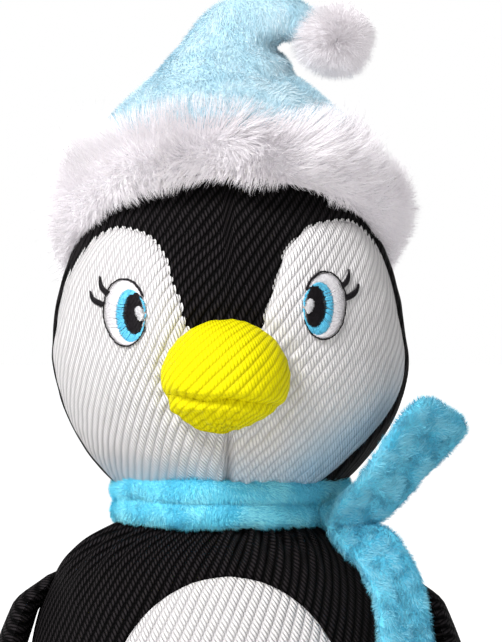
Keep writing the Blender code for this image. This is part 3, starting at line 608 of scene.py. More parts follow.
def face_point(x, z, out=0.0):
    """A point on the front of the head for places across and up, standing out by out."""
    x, z = np.asarray(x, float), np.asarray(z, float)
    up = np.where(z > HEAD[2], CROWN, HEAD_R[2])
    inside = np.clip(1 - (x / HEAD_R[0]) ** 2 - ((z - HEAD[2]) / up) ** 2, 0.001, 1)
    p = np.stack([x, -HEAD_R[1] * np.sqrt(inside), z], -1)
    n = egg_direction(p)
    normal = unit(n / np.stack([np.full_like(x, HEAD_R[0]), np.full_like(x, HEAD_R[1]), up], -1))
    return p + normal * (np.asarray(out) + head_bend(p))[..., None]


def build_head():
    n, faces = cube_sphere(96)
    p = egg(n)
    centre = onto_egg(p[faces].mean(1))
    front, lobe, left = in_front(centre) > 0, in_lobe(centre) > 0, centre[:, 0] > 0
    classes = np.where(front, np.where(lobe, np.where(left, 0, 1), 2), np.where(left, 3, 4))
    fields = [((0, 2), in_lobe), ((1, 2), in_lobe), ((0, 1), lambda q: q[:, 0]), ((3, 4), lambda q: q[:, 0])]
    fields += [((a, b), in_front) for a in (0, 1, 2) for b in (3, 4)]
    p = snap_to_seams(p, faces, classes, fields, onto_egg)
    normals = vertex_normals(p, faces)
    lobe, front = in_lobe(p), in_front(p)
    azimuth = np.arctan2(p[:, 0], -p[:, 1])
    ring = np.hypot(p[:, 0], p[:, 1])
    rise = np.arcsin(np.clip(n[:, 2], -1, 1)) * 54
    bow = 0.005 * np.clip(rise, -45, 30) ** 2 * smoothstep(2, -2, p[:, 0])  # ribs stand up towards the chin
    weave = np.stack([azimuth * ring - bow, rise, np.zeros(len(p))], -1) * MM
    middle = np.where((p[:, 1] > 5) | (p[:, 2] < 138), np.abs(p[:, 0]), 9)
    seam = np.minimum(np.minimum(np.abs(lobe), np.abs(front)), middle)
    white_edge = np.where(front > -1, np.abs(lobe), 9)
    p = p + normals * head_bend(p)[:, None]
    # painted reflection and painted shade on the white face: a blue reflection beside the scarf's upper end, and
    # shade along the chin just over the band
    start, run = np.array([30.0, -33.0, 119.0]), np.array([28.0, 23.0, 21.0])  # beside the scarf's upper end
    share = np.clip((p - start) @ run / (run @ run), 0, 1)
    away = np.linalg.norm(p - start - share[:, None] * run, axis=1)
    painted_scarf_bounce_and_shade = (0.8 - 0.45 * share) * hump(away, 11) + 0.3 * smoothstep(127, 117, p[:, 2])
    painted_scarf_bounce_and_shade *= (lobe > 0) * (front > 0)
    attrs = {"weave": weave, "seam": seam, "white_edge": white_edge, "painted_scarf_bounce_and_shade": painted_scarf_bounce_and_shade}
    panels = (
        ("face_left", "white_left", "face_panel_left", "white_twill"),
        ("face_right", "white_right", "face_panel_right", "white_twill"),
        ("forehead", "forehead", "forehead_panel", "black_twill"),
        ("head_back_left", "black", "head_back_panel_left", "black_twill"),
        ("head_back_right", "black", "head_back_panel_right", "black_twill"),
    )
    sew(panels, p, normals, faces, classes, attrs, "head")


# ---------------------------------------------------------------- beak
def mouth_height(x):
    """Height of the mouth crease across the beak."""
    return 139.6 + 2.6 * smoothstep(-4, -19, x) - 0.9 * smoothstep(4, 16, x) + 0.6 * hump(x, 5)


def build_beak():
    n, faces = cube_sphere(44)
    p = BEAK + n * BEAK_R

    def crease(q):
        return q[:, 2] - mouth_height(q[:, 0])

    def project(q):
        return BEAK + unit((q - BEAK) / BEAK_R) * BEAK_R

    classes = np.where(crease(p[faces].mean(1)) > 0, 0, 1)
    p = snap_to_seams(p, faces, classes, [((0, 1), crease)], project)
    normals = vertex_normals(p, faces)
    gap = crease(p)
    x, y, z = p.T
    side = smoothstep(12, 18, np.abs(x))
    d = (-1.5 * hump(gap, 1.5) + 0.6 * hump(gap - 3.2, 2.4)) * (1 - 0.85 * side)
    d -= (0.25 + 0.6 * smoothstep(-8, 8, x)) * smoothstep(1, -5, gap)
    d -= 0.9 * hump(x - 0.5, 3.6) * hump(gap, 1.1)
    azimuth = np.arctan2(x, BEAK[1] - y)
    d += 0.45 * np.sin(azimuth * 19 + 2 * np.sin(azimuth * 4)) * smoothstep(-1, -5, gap) * (azimuth < 0.4)
    d += 0.35 * field(p, 8.0, 9.0)
    fold = np.cos((z - 139.3 - 0.10 * x) / (0.62 - 0.035 * x))
    d += 0.55 * fold * hump(z - 139.0, 3.4) * smoothstep(1, -8, x)
    d += 0.5 * hump(x - 5, 6) * hump(gap + 2.4, 1.6)
    angle = np.arctan2(z - BEAK[2], x)
    d += 0.25 * np.sin(angle * 21 + 1.5 * np.sin(angle * 5)) * smoothstep(-50, -44, y)
    from_front = np.arccos(np.clip(-n[:, 1], -1, 1))
    flat = unit(n[:, [0, 2]]) * (from_front * 17.3)[:, None]
    weave = np.c_[flat, np.zeros(len(p))] * MM
    p = p + normals * d[:, None]
    p[:, 2] += np.where(gap < 0, -gap * (0.08 + 0.08 * smoothstep(0, 14, p[:, 0])), 0)
    panels = (
        ("beak_upper", "yellow", "beak_upper_panel", "yellow_twill"),
        ("beak_lower", "yellow", "beak_lower_panel", "yellow_twill"),
    )
    sew(panels, p, normals, faces, classes, {"weave": weave, "seam": np.abs(gap)}, "head", 1.0)


def build_beak_filling():
    """The beak's filling, drawn in to suit the recessed lower half."""
    n, faces = cube_sphere(20)
    p = BEAK + n * (BEAK_R - 2.4)
    p[:, 2] += np.where(p[:, 2] < 139, (139 - p[:, 2]) * 0.2, 0)
    p = p + n * (0.3 * field(p, 5.0, 7.0))[:, None]
    make("beak_filling", p, faces, MATERIALS["fill"], "head", ("beak_stuffing",), "stuffing")


# ---------------------------------------------------------------- eyes
def stitch(a, b, width, lift, base=0.1):
    """One satin stitch from a to b on the face, (across, up) each, arched over the cloth."""
    t = np.linspace(0, 1, 6)
    x, z = a[0] + (b[0] - a[0]) * t, a[1] + (b[1] - a[1]) * t
    arch = base + lift * np.sin(np.pi * np.clip(t, 0.02, 0.98)) ** 0.5
    path = face_point(x, z, arch)
    radii = width / 2 * np.array([0.35, 0.9, 1, 1, 0.9, 0.35])
    return tube(path, radii, 5)


def oval(centre, radii, lean, a):
    """A point of an ellipse; a positive lean tips its top to +X."""
    across, up = radii[0] * np.cos(a), radii[1] * np.sin(a)
    c, s = math.cos(lean), math.sin(lean)
    return np.stack([centre[0] + across * c + up * s, centre[1] - across * s + up * c], -1)


def build_eye(side, centre, out):
    """out is +1 where the eye's outer side is at +X. Lengths are across and up, in mm."""
    lean = 0.05 * out
    edge, iris, pupil = (6.0, 9.3), (4.2, 7.6), (3.7, 5.7)
    c_iris = (centre[0] - out * 1.5, centre[1] - 1.0)
    c_pupil = (centre[0] - out * 3.1, centre[1] - 0.3)
    c_high = (centre[0] - out * 4.5, centre[1] - 0.3)
    tilt_in = 0.10 * out

    def within(q):
        """Whether a point is inside the eye's edge."""
        x, z = q[0] - centre[0], q[1] - centre[1]
        u = x * math.cos(lean) - z * math.sin(lean)
        v = x * math.sin(lean) + z * math.cos(lean)
        return (u / edge[0]) ** 2 + (v / edge[1]) ** 2 < 1

    def satin(c, radii, step, width, lift, base, angle, jag, keep=None):
        """Parallel stitches across an oval."""
        parts = []
        span = radii[1] + 0.2
        rows = np.arange(-span, span, step)
        direction = np.array([math.cos(angle), math.sin(angle)])
        across = np.array([-math.sin(angle), math.cos(angle)])
        for r in rows:
            half = radii[0] * math.sqrt(max(0.0, 1 - (r / radii[1]) ** 2))
            if half < 0.3:
                continue
            mid = np.array(c) + across * r
            mid[0] += math.tan(lean) * r
            j = RNG.normal(0, jag, 2)
            a, b = mid - direction * (half + j[0]), mid + direction * (half + j[1])
            if keep:
                t = np.linspace(0, 1, 24)
                on = [k for k in t if keep(a + (b - a) * k)]
                if len(on) < 3:
                    continue
                a, b = a + (b - a) * on[0], a + (b - a) * on[-1]
            parts.append(stitch(a, b, width, lift, base))
        return join(parts)

    def radial(c_in, r_in, c_out, r_out, count, width, lift, base, jag, keep=None):
        """Stitches that run outwards from one oval to another."""
        parts = []
        for a in np.linspace(0, 2 * math.pi, count, endpoint=False):
            p0 = oval(c_in, r_in, lean, a) + RNG.normal(0, jag, 2)
            p1 = oval(c_out, r_out, lean, a) + RNG.normal(0, jag * 0.4, 2)
            if np.hypot(*(p1 - p0)) < 0.35 or (keep and not keep((p0 + p1) / 2)):
                continue
            parts.append(stitch(p0, p1, width, lift, base))
        return join(parts)

    def add(part, key, slot, shape):
        make(f"eye_{side}_{part}_stitches", *shape, MATERIALS[key], "head", (f"eye_{side}_{part}",), slot)

    add("white", "white_thread", "white_thread",
        radial(c_iris, (iris[0] - 0.6, iris[1] - 0.6), centre, edge, 120, 0.42, 0.28, 0.12, 0.05))
    add("iris", "blue_thread", "blue_thread",
        radial(c_pupil, (pupil[0] - 0.5, pupil[1] - 0.5), c_iris, iris, 104, 0.42, 0.32, 0.26, 0.16, within))
    add("pupil", "black_thread", "black_thread",
        satin(c_pupil, pupil, 0.33, 0.42, 0.35, 0.42, tilt_in, 0.22, within))
    add("highlight", "silver_thread", "white_thread",
        satin(c_high, (1.35, 2.1), 0.34, 0.44, 0.35, 0.78, -0.2 * out, 0.12))

    parts = []
    count = 40
    for k in range(count):
        a0, a1 = 2 * math.pi * k / count, 2 * math.pi * (k + 1.25) / count
        grow = 0.22 + RNG.normal(0, 0.06)
        r = (edge[0] + grow, edge[1] + grow)
        high = math.sin((a0 + a1) / 2)
        inner = -out * math.cos((a0 + a1) / 2)
        width = 0.42 + 0.8 * max(0, inner) * max(0, high) + 0.08 * abs(high)
        if inner > 0.8 and abs(high) < 0.5:
            continue
        parts.append(stitch(oval(centre, r, lean, a0), oval(centre, r, lean, a1), width, 0.22, 0.3))
    add("outline", "black_thread", "black_thread", join(parts))

    for name, spine, widths in (
        ("lash_upper", [(5.0, 5.4), (6.3, 6.6), (6.9, 8.2), (6.9, 10.2)], [1.7, 1.6, 1.05, 0.3]),
        ("lash_lower", [(6.3, 2.2), (8.0, 3.0), (9.2, 4.2), (9.7, 6.1)], [1.7, 1.8, 1.2, 0.4]),
    ):
        path = catmull([(centre[0] + out * x, centre[1] + z) for x, z in spine], 8)
        wide = catmull([(w, 0) for w in widths], 8)[:, 0]
        parts = []
        for i in range(0, len(path) - 1):
            ahead = unit((path[i + 1] - path[i])[None])[0]
            across = np.array([-ahead[1], ahead[0]]) * wide[i] / 2 + ahead * 0.25
            parts.append(stitch(path[i] - across, path[i] + across, 0.4, 0.28, 0.2))
        add(name, "black_thread", "black_thread", join(parts))


# ---------------------------------------------------------------- loose fibre
def strands(name, roots, tips_dir, normals, lengths, width, material, body, droop, segments, curl, slot):
    """Thin tapered ribbons that face outwards. Each bends from its root direction towards that plus droop."""
    count = len(roots)
    d = unit(tips_dir)
    side = unit(np.cross(d, normals + RNG.normal(0, 0.35, (count, 3))))
    other = np.cross(d, side)
    phase = RNG.uniform(0, 2 * math.pi, count)
    rows = []
    for k in range(segments + 1):
        s = k / segments
        middle = roots + d * (lengths * s)[:, None] + droop * (lengths * s * s)[:, None]
        a = (phase + 3 * s)[:, None]
        middle += (side * np.cos(a) + other * np.sin(a)) * curl * s * s
        if k == segments:
            rows.append(middle[:, None])
        else:
            half = width * 0.5 * (1 - TAPER * s**1.5)
            rows.append(np.stack([middle - side * half, middle + side * half], 1))
    verts = np.concatenate(rows, axis=1)
    local = []
    for a in range(0, 2 * segments - 2, 2):
        local += [(a, a + 1, a + 3), (a, a + 3, a + 2)]
    local.append((2 * segments - 2, 2 * segments - 1, 2 * segments))
    faces = (np.arange(count)[:, None, None] * verts.shape[1] + np.array(local)[None]).reshape(-1, 3)
    return make(name, verts.reshape(-1, 3), faces, material, body, (), slot)


def clumped(roots, d, lengths, count, pull, seed):
    """Directions drawn towards the tips of nearby guide fibres, which makes tufts."""
    rng = np.random.default_rng(seed)
    pick = rng.choice(len(roots), count, replace=False)
    tree = KDTree(count)
    for i, k in enumerate(pick):
        tree.insert(roots[k], i)
    tree.balance()
    near = np.array([tree.find(r)[1] for r in roots])
    guide = pick[near]
    tips = roots + d * lengths[:, None]
    share = (pull * rng.uniform(0.5, 1.0, len(roots)))[:, None]
    return unit(tips * (1 - share) + tips[guide] * share - roots)


def scatter(p, faces, per_mm2, seed):
    """Random points on quads, each with its surface normal."""
    rng = np.random.default_rng(seed)
    tri = np.concatenate([faces[:, [0, 1, 2]], faces[:, [0, 2, 3]]])
    a, b, c = p[tri[:, 0]], p[tri[:, 1]], p[tri[:, 2]]
    cross = np.cross(b - a, c - a)
    area = np.linalg.norm(cross, axis=1) / 2
    count = int(area.sum() * per_mm2)
    pick = rng.choice(len(tri), count, p=area / area.sum())
    r1, r2 = np.sqrt(rng.random(count)), rng.random(count)
    w = np.stack([1 - r1, r1 * (1 - r2), r1 * r2], -1)
    return (w[:, :, None] * np.stack([a[pick], b[pick], c[pick]], 1)).sum(1), unit(cross[pick])


def pile(name, p, faces, per_mm2, length, width, keys, body, slot, seed, lean, patch=9.0):
    """Short brushed pile over a surface, in a light and a dark shade that follow its swirls."""
    roots, normals = scatter(p, faces, per_mm2, seed)
    swirl = swirls(roots, patch, (seed + 1.0, seed + 4.0, seed + 8.0))
    comb = np.array(lean, float) + 1.7 * swirl
    comb -= normals * (comb * normals).sum(1, keepdims=True)
    rng = np.random.default_rng(seed + 50)
    d = unit(normals * 0.75 + comb * 0.7 + rng.normal(0, 0.22, roots.shape))
    size = length * rng.uniform(0.65, 1.15, len(roots))
    pick = swirl[:, 0] + rng.normal(0, 0.25, len(roots)) > 0
    roots = roots - normals * 0.15
    made = []
    for tag, m, key in (("light", pick, keys[0]), ("dark", ~pick, keys[1])):
        made.append(strands(f"{name}_{tag}", roots[m], d[m], normals[m], size[m], width, MATERIALS[key], body,
                            comb[m] * 0.25, 2, 0.0, slot))
    return made


# ---------------------------------------------------------------- hat
def tilt(v):
    c, s = math.cos(BRIM_TILT), math.sin(BRIM_TILT)
    return np.stack([v[..., 0], v[..., 1] * c - v[..., 2] * s, v[..., 1] * s + v[..., 2] * c], -1)


def side_share(a):
    """1 at either side of the brim, where it reaches higher, and 0 at its front and back."""
    return smoothstep(0.4, 0.95, np.abs(np.cos(a)))


def brim_point(a, b):
    """Points of the brim's backing round the head by a and round its tube by b, with their directions."""
    wide, rise = BRIM_TUBE[0], 3 * side_share(a)
    tall = BRIM_TUBE[1] + rise
    out = np.stack([np.cos(a), np.sin(a), np.zeros_like(a)], -1)
    middle = np.stack([BRIM_R[0] * np.cos(a), BRIM_R[1] * np.sin(a), np.zeros_like(a)], -1)
    up = np.array([0, 0, 1.0])
    local = middle + out * (wide * np.cos(b))[..., None] + up * (rise + tall * np.sin(b))[..., None]
    normal = unit(out * (np.cos(b) / wide)[..., None] + up * (np.sin(b) / tall)[..., None])
    return BRIM + tilt(local), tilt(normal), tilt(out), tilt(np.broadcast_to(up, out.shape))


def build_brim():
    rows, columns = 160, 40
    a = np.repeat(np.linspace(0, 2 * math.pi, rows, endpoint=False), columns)
    b = np.tile(np.linspace(0, 2 * math.pi, columns, endpoint=False), rows)
    p, n, _, _ = brim_point(a, b)
    p = p + n * (6.4 * (0.06 * np.sin(5 * a + 1) + 0.04 * np.sin(11 * a)))[:, None]
    faces = ring_faces(rows, columns)
    core = make("brim_backing", p, faces, MATERIALS["fur_base"], "head", ("hat_brim_fur",), "white_fur")
    count = BRIM_FIBRES
    rng = np.random.default_rng(3)
    a = rng.uniform(0, 2 * math.pi, count)
    b = rng.uniform(math.radians(-110), math.radians(150), count)
    roots, n, out, up = brim_point(a, b)
    sweep = swirls(roots, 16.0)
    high, sides = np.sin(b), side_share(a)
    comb = out * (0.35 + 0.25 * (1 - np.abs(high)))[:, None]
    comb += up * (0.55 * smoothstep(-0.55, 0.3, high) - 0.25)[:, None]
    inward = out * (sides * smoothstep(0.15, 0.85, high))[:, None]
    d = unit(n * 0.8 + comb * 0.9 + sweep * 0.75 - inward * 0.75 + rng.normal(0, 0.16, n.shape))
    top = smoothstep(0.3, 1.0, high)
    lengths = 11.5 * rng.uniform(0.42, 1.1, count) * (0.38 + 0.62 * smoothstep(-0.9, 0.1, high))
    lengths *= (1 - 0.22 * np.abs(np.cos(a)) ** 3 * (1 - top)) * (1 - 0.3 * top * (1 - 1.4 * sides))
    lengths *= (1 - 0.28 * smoothstep(0.6, 1.0, np.cos(a))) * (1 + 0.4 * field(roots, 10.0, 7.0))
    d = clumped(roots, d, lengths, 3200, 0.42, 11)
    droop = sweep * 0.35 + up * 0.12 * smoothstep(-0.3, 0.6, high)[:, None] - inward * 0.3
    order = rng.permutation(count)
    for k, key in enumerate(("fur_a", "fur_b", "fur_c")):
        m = order[k::3]
        strands(f"brim_fur_{key[-1]}", roots[m], d[m], n[m], lengths[m], 0.15, MATERIALS[key], "head",
                droop[m], 4, 0.5, "white_fur")


HAT_RINGS = [  # centre, radius and tilt of the hat's cloth, from inside the brim to inside the pompom
    ((0, 6, 187), 41.5, -30), ((0, 6, 193), 42.0, -28), ((0, 5, 206), 41.0, -19), ((0, 4.2, 214), 39.6, -12),
    ((-0.2, 4, 220), 36.0, -7), ((-0.6, 3.5, 227), 28.6, -3), ((-0.8, 3, 233.4), 21.3, 0),
    ((0.4, 2.9, 239.5), 16.2, 6),
    ((3.4, 2.6, 245.5), 13.2, 26), ((8.0, 2.0, 249.6), 10.4, 52), ((14, 1.0, 251.2), 7.8, 78),
    ((20, 0.3, 250.0), 5.8, 104), ((24.5, -0.2, 248.0), 4.6, 118), ((28, -0.7, 246.5), 3.6, 118),
]
HAT_BLEND = ((0, 3, 234.0), (6, 3, 247.0))


def build_hat():
    keys = np.array([[*c, r, t] for c, r, t in HAT_RINGS], float)
    rows = catmull(keys, 8)
    around = 132
    a = np.linspace(0, 2 * math.pi, around, endpoint=False)
    rings = []
    for x, y, z, r, t in rows:
        lean = math.radians(t)
        if t <= 0:
            u, v = np.array([1, 0, 0.0]), np.array([0, math.cos(lean), math.sin(lean)])
        else:
            u, v = np.array([math.cos(lean), 0, -math.sin(lean)]), np.array([0, 1.0, 0])
        rings.append(np.array([x, y, z]) + r * (np.cos(a)[:, None] * u + np.sin(a)[:, None] * v))
    p = np.concatenate(rings)
    faces = grid_faces(len(rows), around)
    faces, normals = outward(p, faces, p - [0, 4, 215])
    x, y, z = p.T
    d = 0.9 * field(p, 15.0, 6.0) + 0.35 * field(p, 5.0, 2.0)
    crease = np.sin((z - 236) * 0.8 + 2 * field(p, 14.0, 3.0)) * hump(z - 240, 7)
    d += 0.9 * crease * smoothstep(-4, 18, x) - 0.4 * smoothstep(236, 246, z)
    d -= 0.9 * hump(x, 1.2) * (y > 3)
    p = p + normals * d[:, None]
    cloth = make("hat_cloth", p, faces, MATERIALS["hat"], None, ("hat_cone", "hat_tip"), "hat_minky")
    keep = faces[faces.min(1) // around > 8]
    nap = pile("hat_pile", p, keep, 5.0, 1.5, 0.17, ("hat_a", "hat_b"), None, "hat_minky", 21,
               (0.1, -0.3, -1))
    for piece in (cloth, *nap):
        [Vector(v) * MM for v in HAT_BLEND]
        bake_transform(piece)


def build_pompom():
    n, faces = cube_sphere(12)
    p = POMPOM + n * 5.2
    core = make("pompom_core", p, faces, MATERIALS["fur_base"], "hat_tip", ("pompom_fur",), "white_fur")
    rng = np.random.default_rng(5)
    d0 = unit(rng.normal(size=(POMPOM_FIBRES, 3)))
    roots = POMPOM + d0 * 4.6
    sweep = swirls(roots, 6.0)
    lengths = 7.6 * rng.uniform(0.7, 1.1, POMPOM_FIBRES)
    d = clumped(roots, unit(d0 + sweep * 0.5 + rng.normal(0, 0.12, d0.shape)), lengths, 700, 0.5, 12)
    for k, key in enumerate(("fur_a", "fur_b")):
        m = slice(k, None, 2)
        strands(f"pompom_fur_{key[-1]}", roots[m], d[m], d0[m], lengths[m], 0.17, MATERIALS[key], "hat_tip",
                sweep[m] * 0.3, 4, 0.4, "white_fur")


# ---------------------------------------------------------------- body
BODY = np.array([
    (0.6, 43.6), (2.5, 46), (6, 49.4), (15, 54.4), (32, 58.7), (50, 59.7), (68, 57.8), (82, 54.0), (92, 49.0),
    (98, 43.6), (102.5, 36.5), (105.2, 30), (105.8, 26), (104.5, 24.5),
])


def body_field(p):
    """Distance inside the belly's oval, across and up."""
    q = np.hypot(p[:, 0] / BELLY[0], (p[:, 2] - BELLY[1]) / BELLY[2])
    return (1 - q) * 37


def build_body():
    profile = catmull(BODY, 12)
    heights = np.concatenate([[0], np.cumsum(np.hypot(*np.diff(profile, axis=0).T))])
    rows = 150
    s = np.linspace(0, heights[-1], rows)
    z, r = np.interp(s, heights, profile[:, 0]), np.interp(s, heights, profile[:, 1])
    columns = 340
    a = np.linspace(0, 2 * math.pi, columns, endpoint=False)
    p = np.stack([
        (r[:, None] * np.cos(a)).ravel(), (r[:, None] * np.sin(a) * BODY_DEPTH).ravel(), np.repeat(z, columns)
    ], -1)
    length = np.repeat(s, columns)
    faces = grid_faces(rows, columns)
    centre = p[faces].mean(1)
    front, left = centre[:, 1] < 0, centre[:, 0] > 0
    belly = front & (body_field(centre) > 0)
    classes = np.where(belly, 0, np.where(front, 1, np.where(left, 2, 3)))

    def project(q):
        angle = np.arctan2(q[:, 1] / BODY_DEPTH, q[:, 0])
        height = np.clip(q[:, 2], 1, 100)
        radius = np.interp(height, profile[:100, 0], profile[:100, 1])
        return np.stack([radius * np.cos(angle), radius * np.sin(angle) * BODY_DEPTH, height], -1)

    p = snap_to_seams(p, faces, classes, [((0, 1), body_field)], project)
    normals = vertex_normals(p, faces)
    x, y, z = p.T
    angle = np.arctan2(y / BODY_DEPTH, x)
    edge = body_field(p)
    d = 0.6 * field(p, 22.0, 1.0) + 0.25 * field(p, 7.0, 3.0)
    d -= 0.9 * hump(y, 1.5) * (np.abs(x) > 10)
    d -= 0.9 * hump(x, 1.5) * (y > 5)
    d -= 0.7 * hump(edge, 1.6) * (y < 0)
    pleat = np.sin(angle * 43 + 2.4 * np.sin(angle * 6)) * (0.6 + 0.4 * np.sin(angle * 5 + 2))
    d += 1.1 * pleat * smoothstep(84, 103, z)
    d += 0.7 * np.sin(angle * 51 + 2 * np.sin(angle * 7)) * smoothstep(9, 1, z)
    d = np.maximum(d, -0.8) * smoothstep(0.2, 2.5, z)
    weave = np.stack([angle * 50, length, np.zeros(len(p))], -1) * MM
    panels = (
        ("belly", "belly", "belly_panel", "white_twill"),
        ("body_front", "body", "body_front_panel", "black_twill"),
        ("body_back_left", "body", "body_back_panel_left", "black_twill"),
        ("body_back_right", "body", "body_back_panel_right", "black_twill"),
    )
    attrs = {"weave": weave, "seam": np.abs(edge)}
    sew(panels, p + normals * d[:, None], normals, faces, classes, attrs, "body")

    rings, columns = np.linspace(0.02, 1, 24), 120
    angles = np.linspace(0, 2 * math.pi, columns, endpoint=False)
    rim = np.stack([np.cos(angles) * BASE_R, np.sin(angles) * BASE_R * BODY_DEPTH], -1)
    flat = np.concatenate([np.c_[rim * k, np.full(columns, 0.15 + 0.5 * k**30)] for k in rings])
    base = make("base_cloth", flat, grid_faces(len(rings), columns)[:, ::-1], MATERIALS["black"], "body",
                ("base_panel",), "black_twill", attrs={"weave": flat * MM})


# ---------------------------------------------------------------- limbs
def pad(name, outline, up, where, material, body, node, slot, sign=1, levels=14, power=2.3, root=0.0):
    """A sewn half of a stuffed limb over a flat outline, with a puckered seam. Its root leans in by root."""
    line = catmull(outline, 8, closed=True)
    middle = line.mean(0)
    count = len(line)
    weave, points = [], []
    step = np.arange(count) / count * 2 * math.pi
    for k in range(levels + 1):
        t = k / levels
        share = 1 - t
        height = up * (1 - share**power) ** (1 / power)
        ring = middle + (line - middle) * max(share, 0.004)
        pucker = 0.35 * np.sin(step * 31) * smoothstep(0.3, 0.02, t) * (0.2 + t)
        u, v = ring[:, 0], ring[:, 1]
        w = sign * (height + pucker) - root * smoothstep(9, -4, u)
        points.append(np.stack([u, v, np.broadcast_to(w, u.shape)], -1))
        weave.append(np.stack([u, v, np.zeros(count)], -1))
    local = np.concatenate(points)
    p = local @ where[0] + where[1]
    faces = grid_faces(levels + 1, count)
    normal = vertex_normals(p, faces).mean(0)
    if normal @ (sign * where[0][2]) < 0:
        faces = faces[:, ::-1]
    piece = make(name, p, faces, MATERIALS[material], body, (node,), slot,
                 attrs={"weave": np.concatenate(weave) * MM, "seam": np.full(len(p), 9.0)})
    return piece


def mirrored(half):
    """A closed outline from the half of it on one side of its middle line."""
    return half + [(u, -v) for u, v in half[::-1] if v]


FLIPPER = mirrored([(-4.5, 0.0), (-2.5, 6.4), (6, 10.9), (23, 13), (41, 10.9), (54, 6.4), (60.2, 0)])
FOOT = mirrored([
    (-6.5, 7.5), (0, 9.4), (6.5, 14), (20, 17.4), (29.6, 16.1), (33.6, 11.2), (31.4, 6.6), (35.2, 2.6), (36.4, 0),
])
TAIL = mirrored([(-4, 9), (0, 11.4), (6, 13), (14.4, 9.4), (21, 3.8), (24, 0)])


def build_limbs():
    for side, sign in (("left", 1), ("right", -1)):
        splay = math.radians(20)
        down = np.array([sign * math.sin(splay), 0, -math.cos(splay)])
        width = np.array([0, float(sign), 0])
        out = np.cross(down, width)
        where = (np.array([down, width, out]), np.array([sign * 56.2, 0, 88.0]))
        turn = 1 if out[0] * sign > 0 else -1
        for part, face in (("outer", turn), ("inner", -turn)):
            pad(f"flipper_{side}_{part}_cloth", FLIPPER, 4.3, where, "black", f"flipper_{side}",
                f"flipper_{side}_{part}", "black_twill", face, root=5.0)
        forward = unit(np.array([[sign * 0.14, -1, 0.0]]))[0]
        across = np.cross([0, 0, 1.0], forward)
        base = np.array([sign * 22.0, -44.0, 0.0])
        frame_up = np.array([forward, across, [0, 0, 1.0]])
        pad(f"foot_{side}_top_cloth", FOOT, 11.0, (frame_up, base + [0, 0, 1.3]), "yellow", f"foot_{side}",
            f"foot_{side}_upper", "yellow_twill", 1, 18, 2.6, -4.0)
        pad(f"foot_{side}_sole_cloth", FOOT, 1.1, (frame_up, base + [0, 0, 1.3]), "yellow", f"foot_{side}",
            f"foot_{side}_sole", "yellow_twill", -1, 8, 6.0, -4.0)
    back = np.array([0, math.cos(0.3), -math.sin(0.3)])
    across = np.array([-1.0, 0, 0])
    where = (np.array([back, across, np.cross(back, across)]), np.array([0, 50.0, 22.0]))
    for part, face in (("upper", 1), ("lower", -1)):
        up = 1 if where[0][2][2] > 0 else -1
        pad(f"tail_{part}_cloth", TAIL, 3.6, where, "black", "tail", f"tail_{part}", "black_twill", face * up)


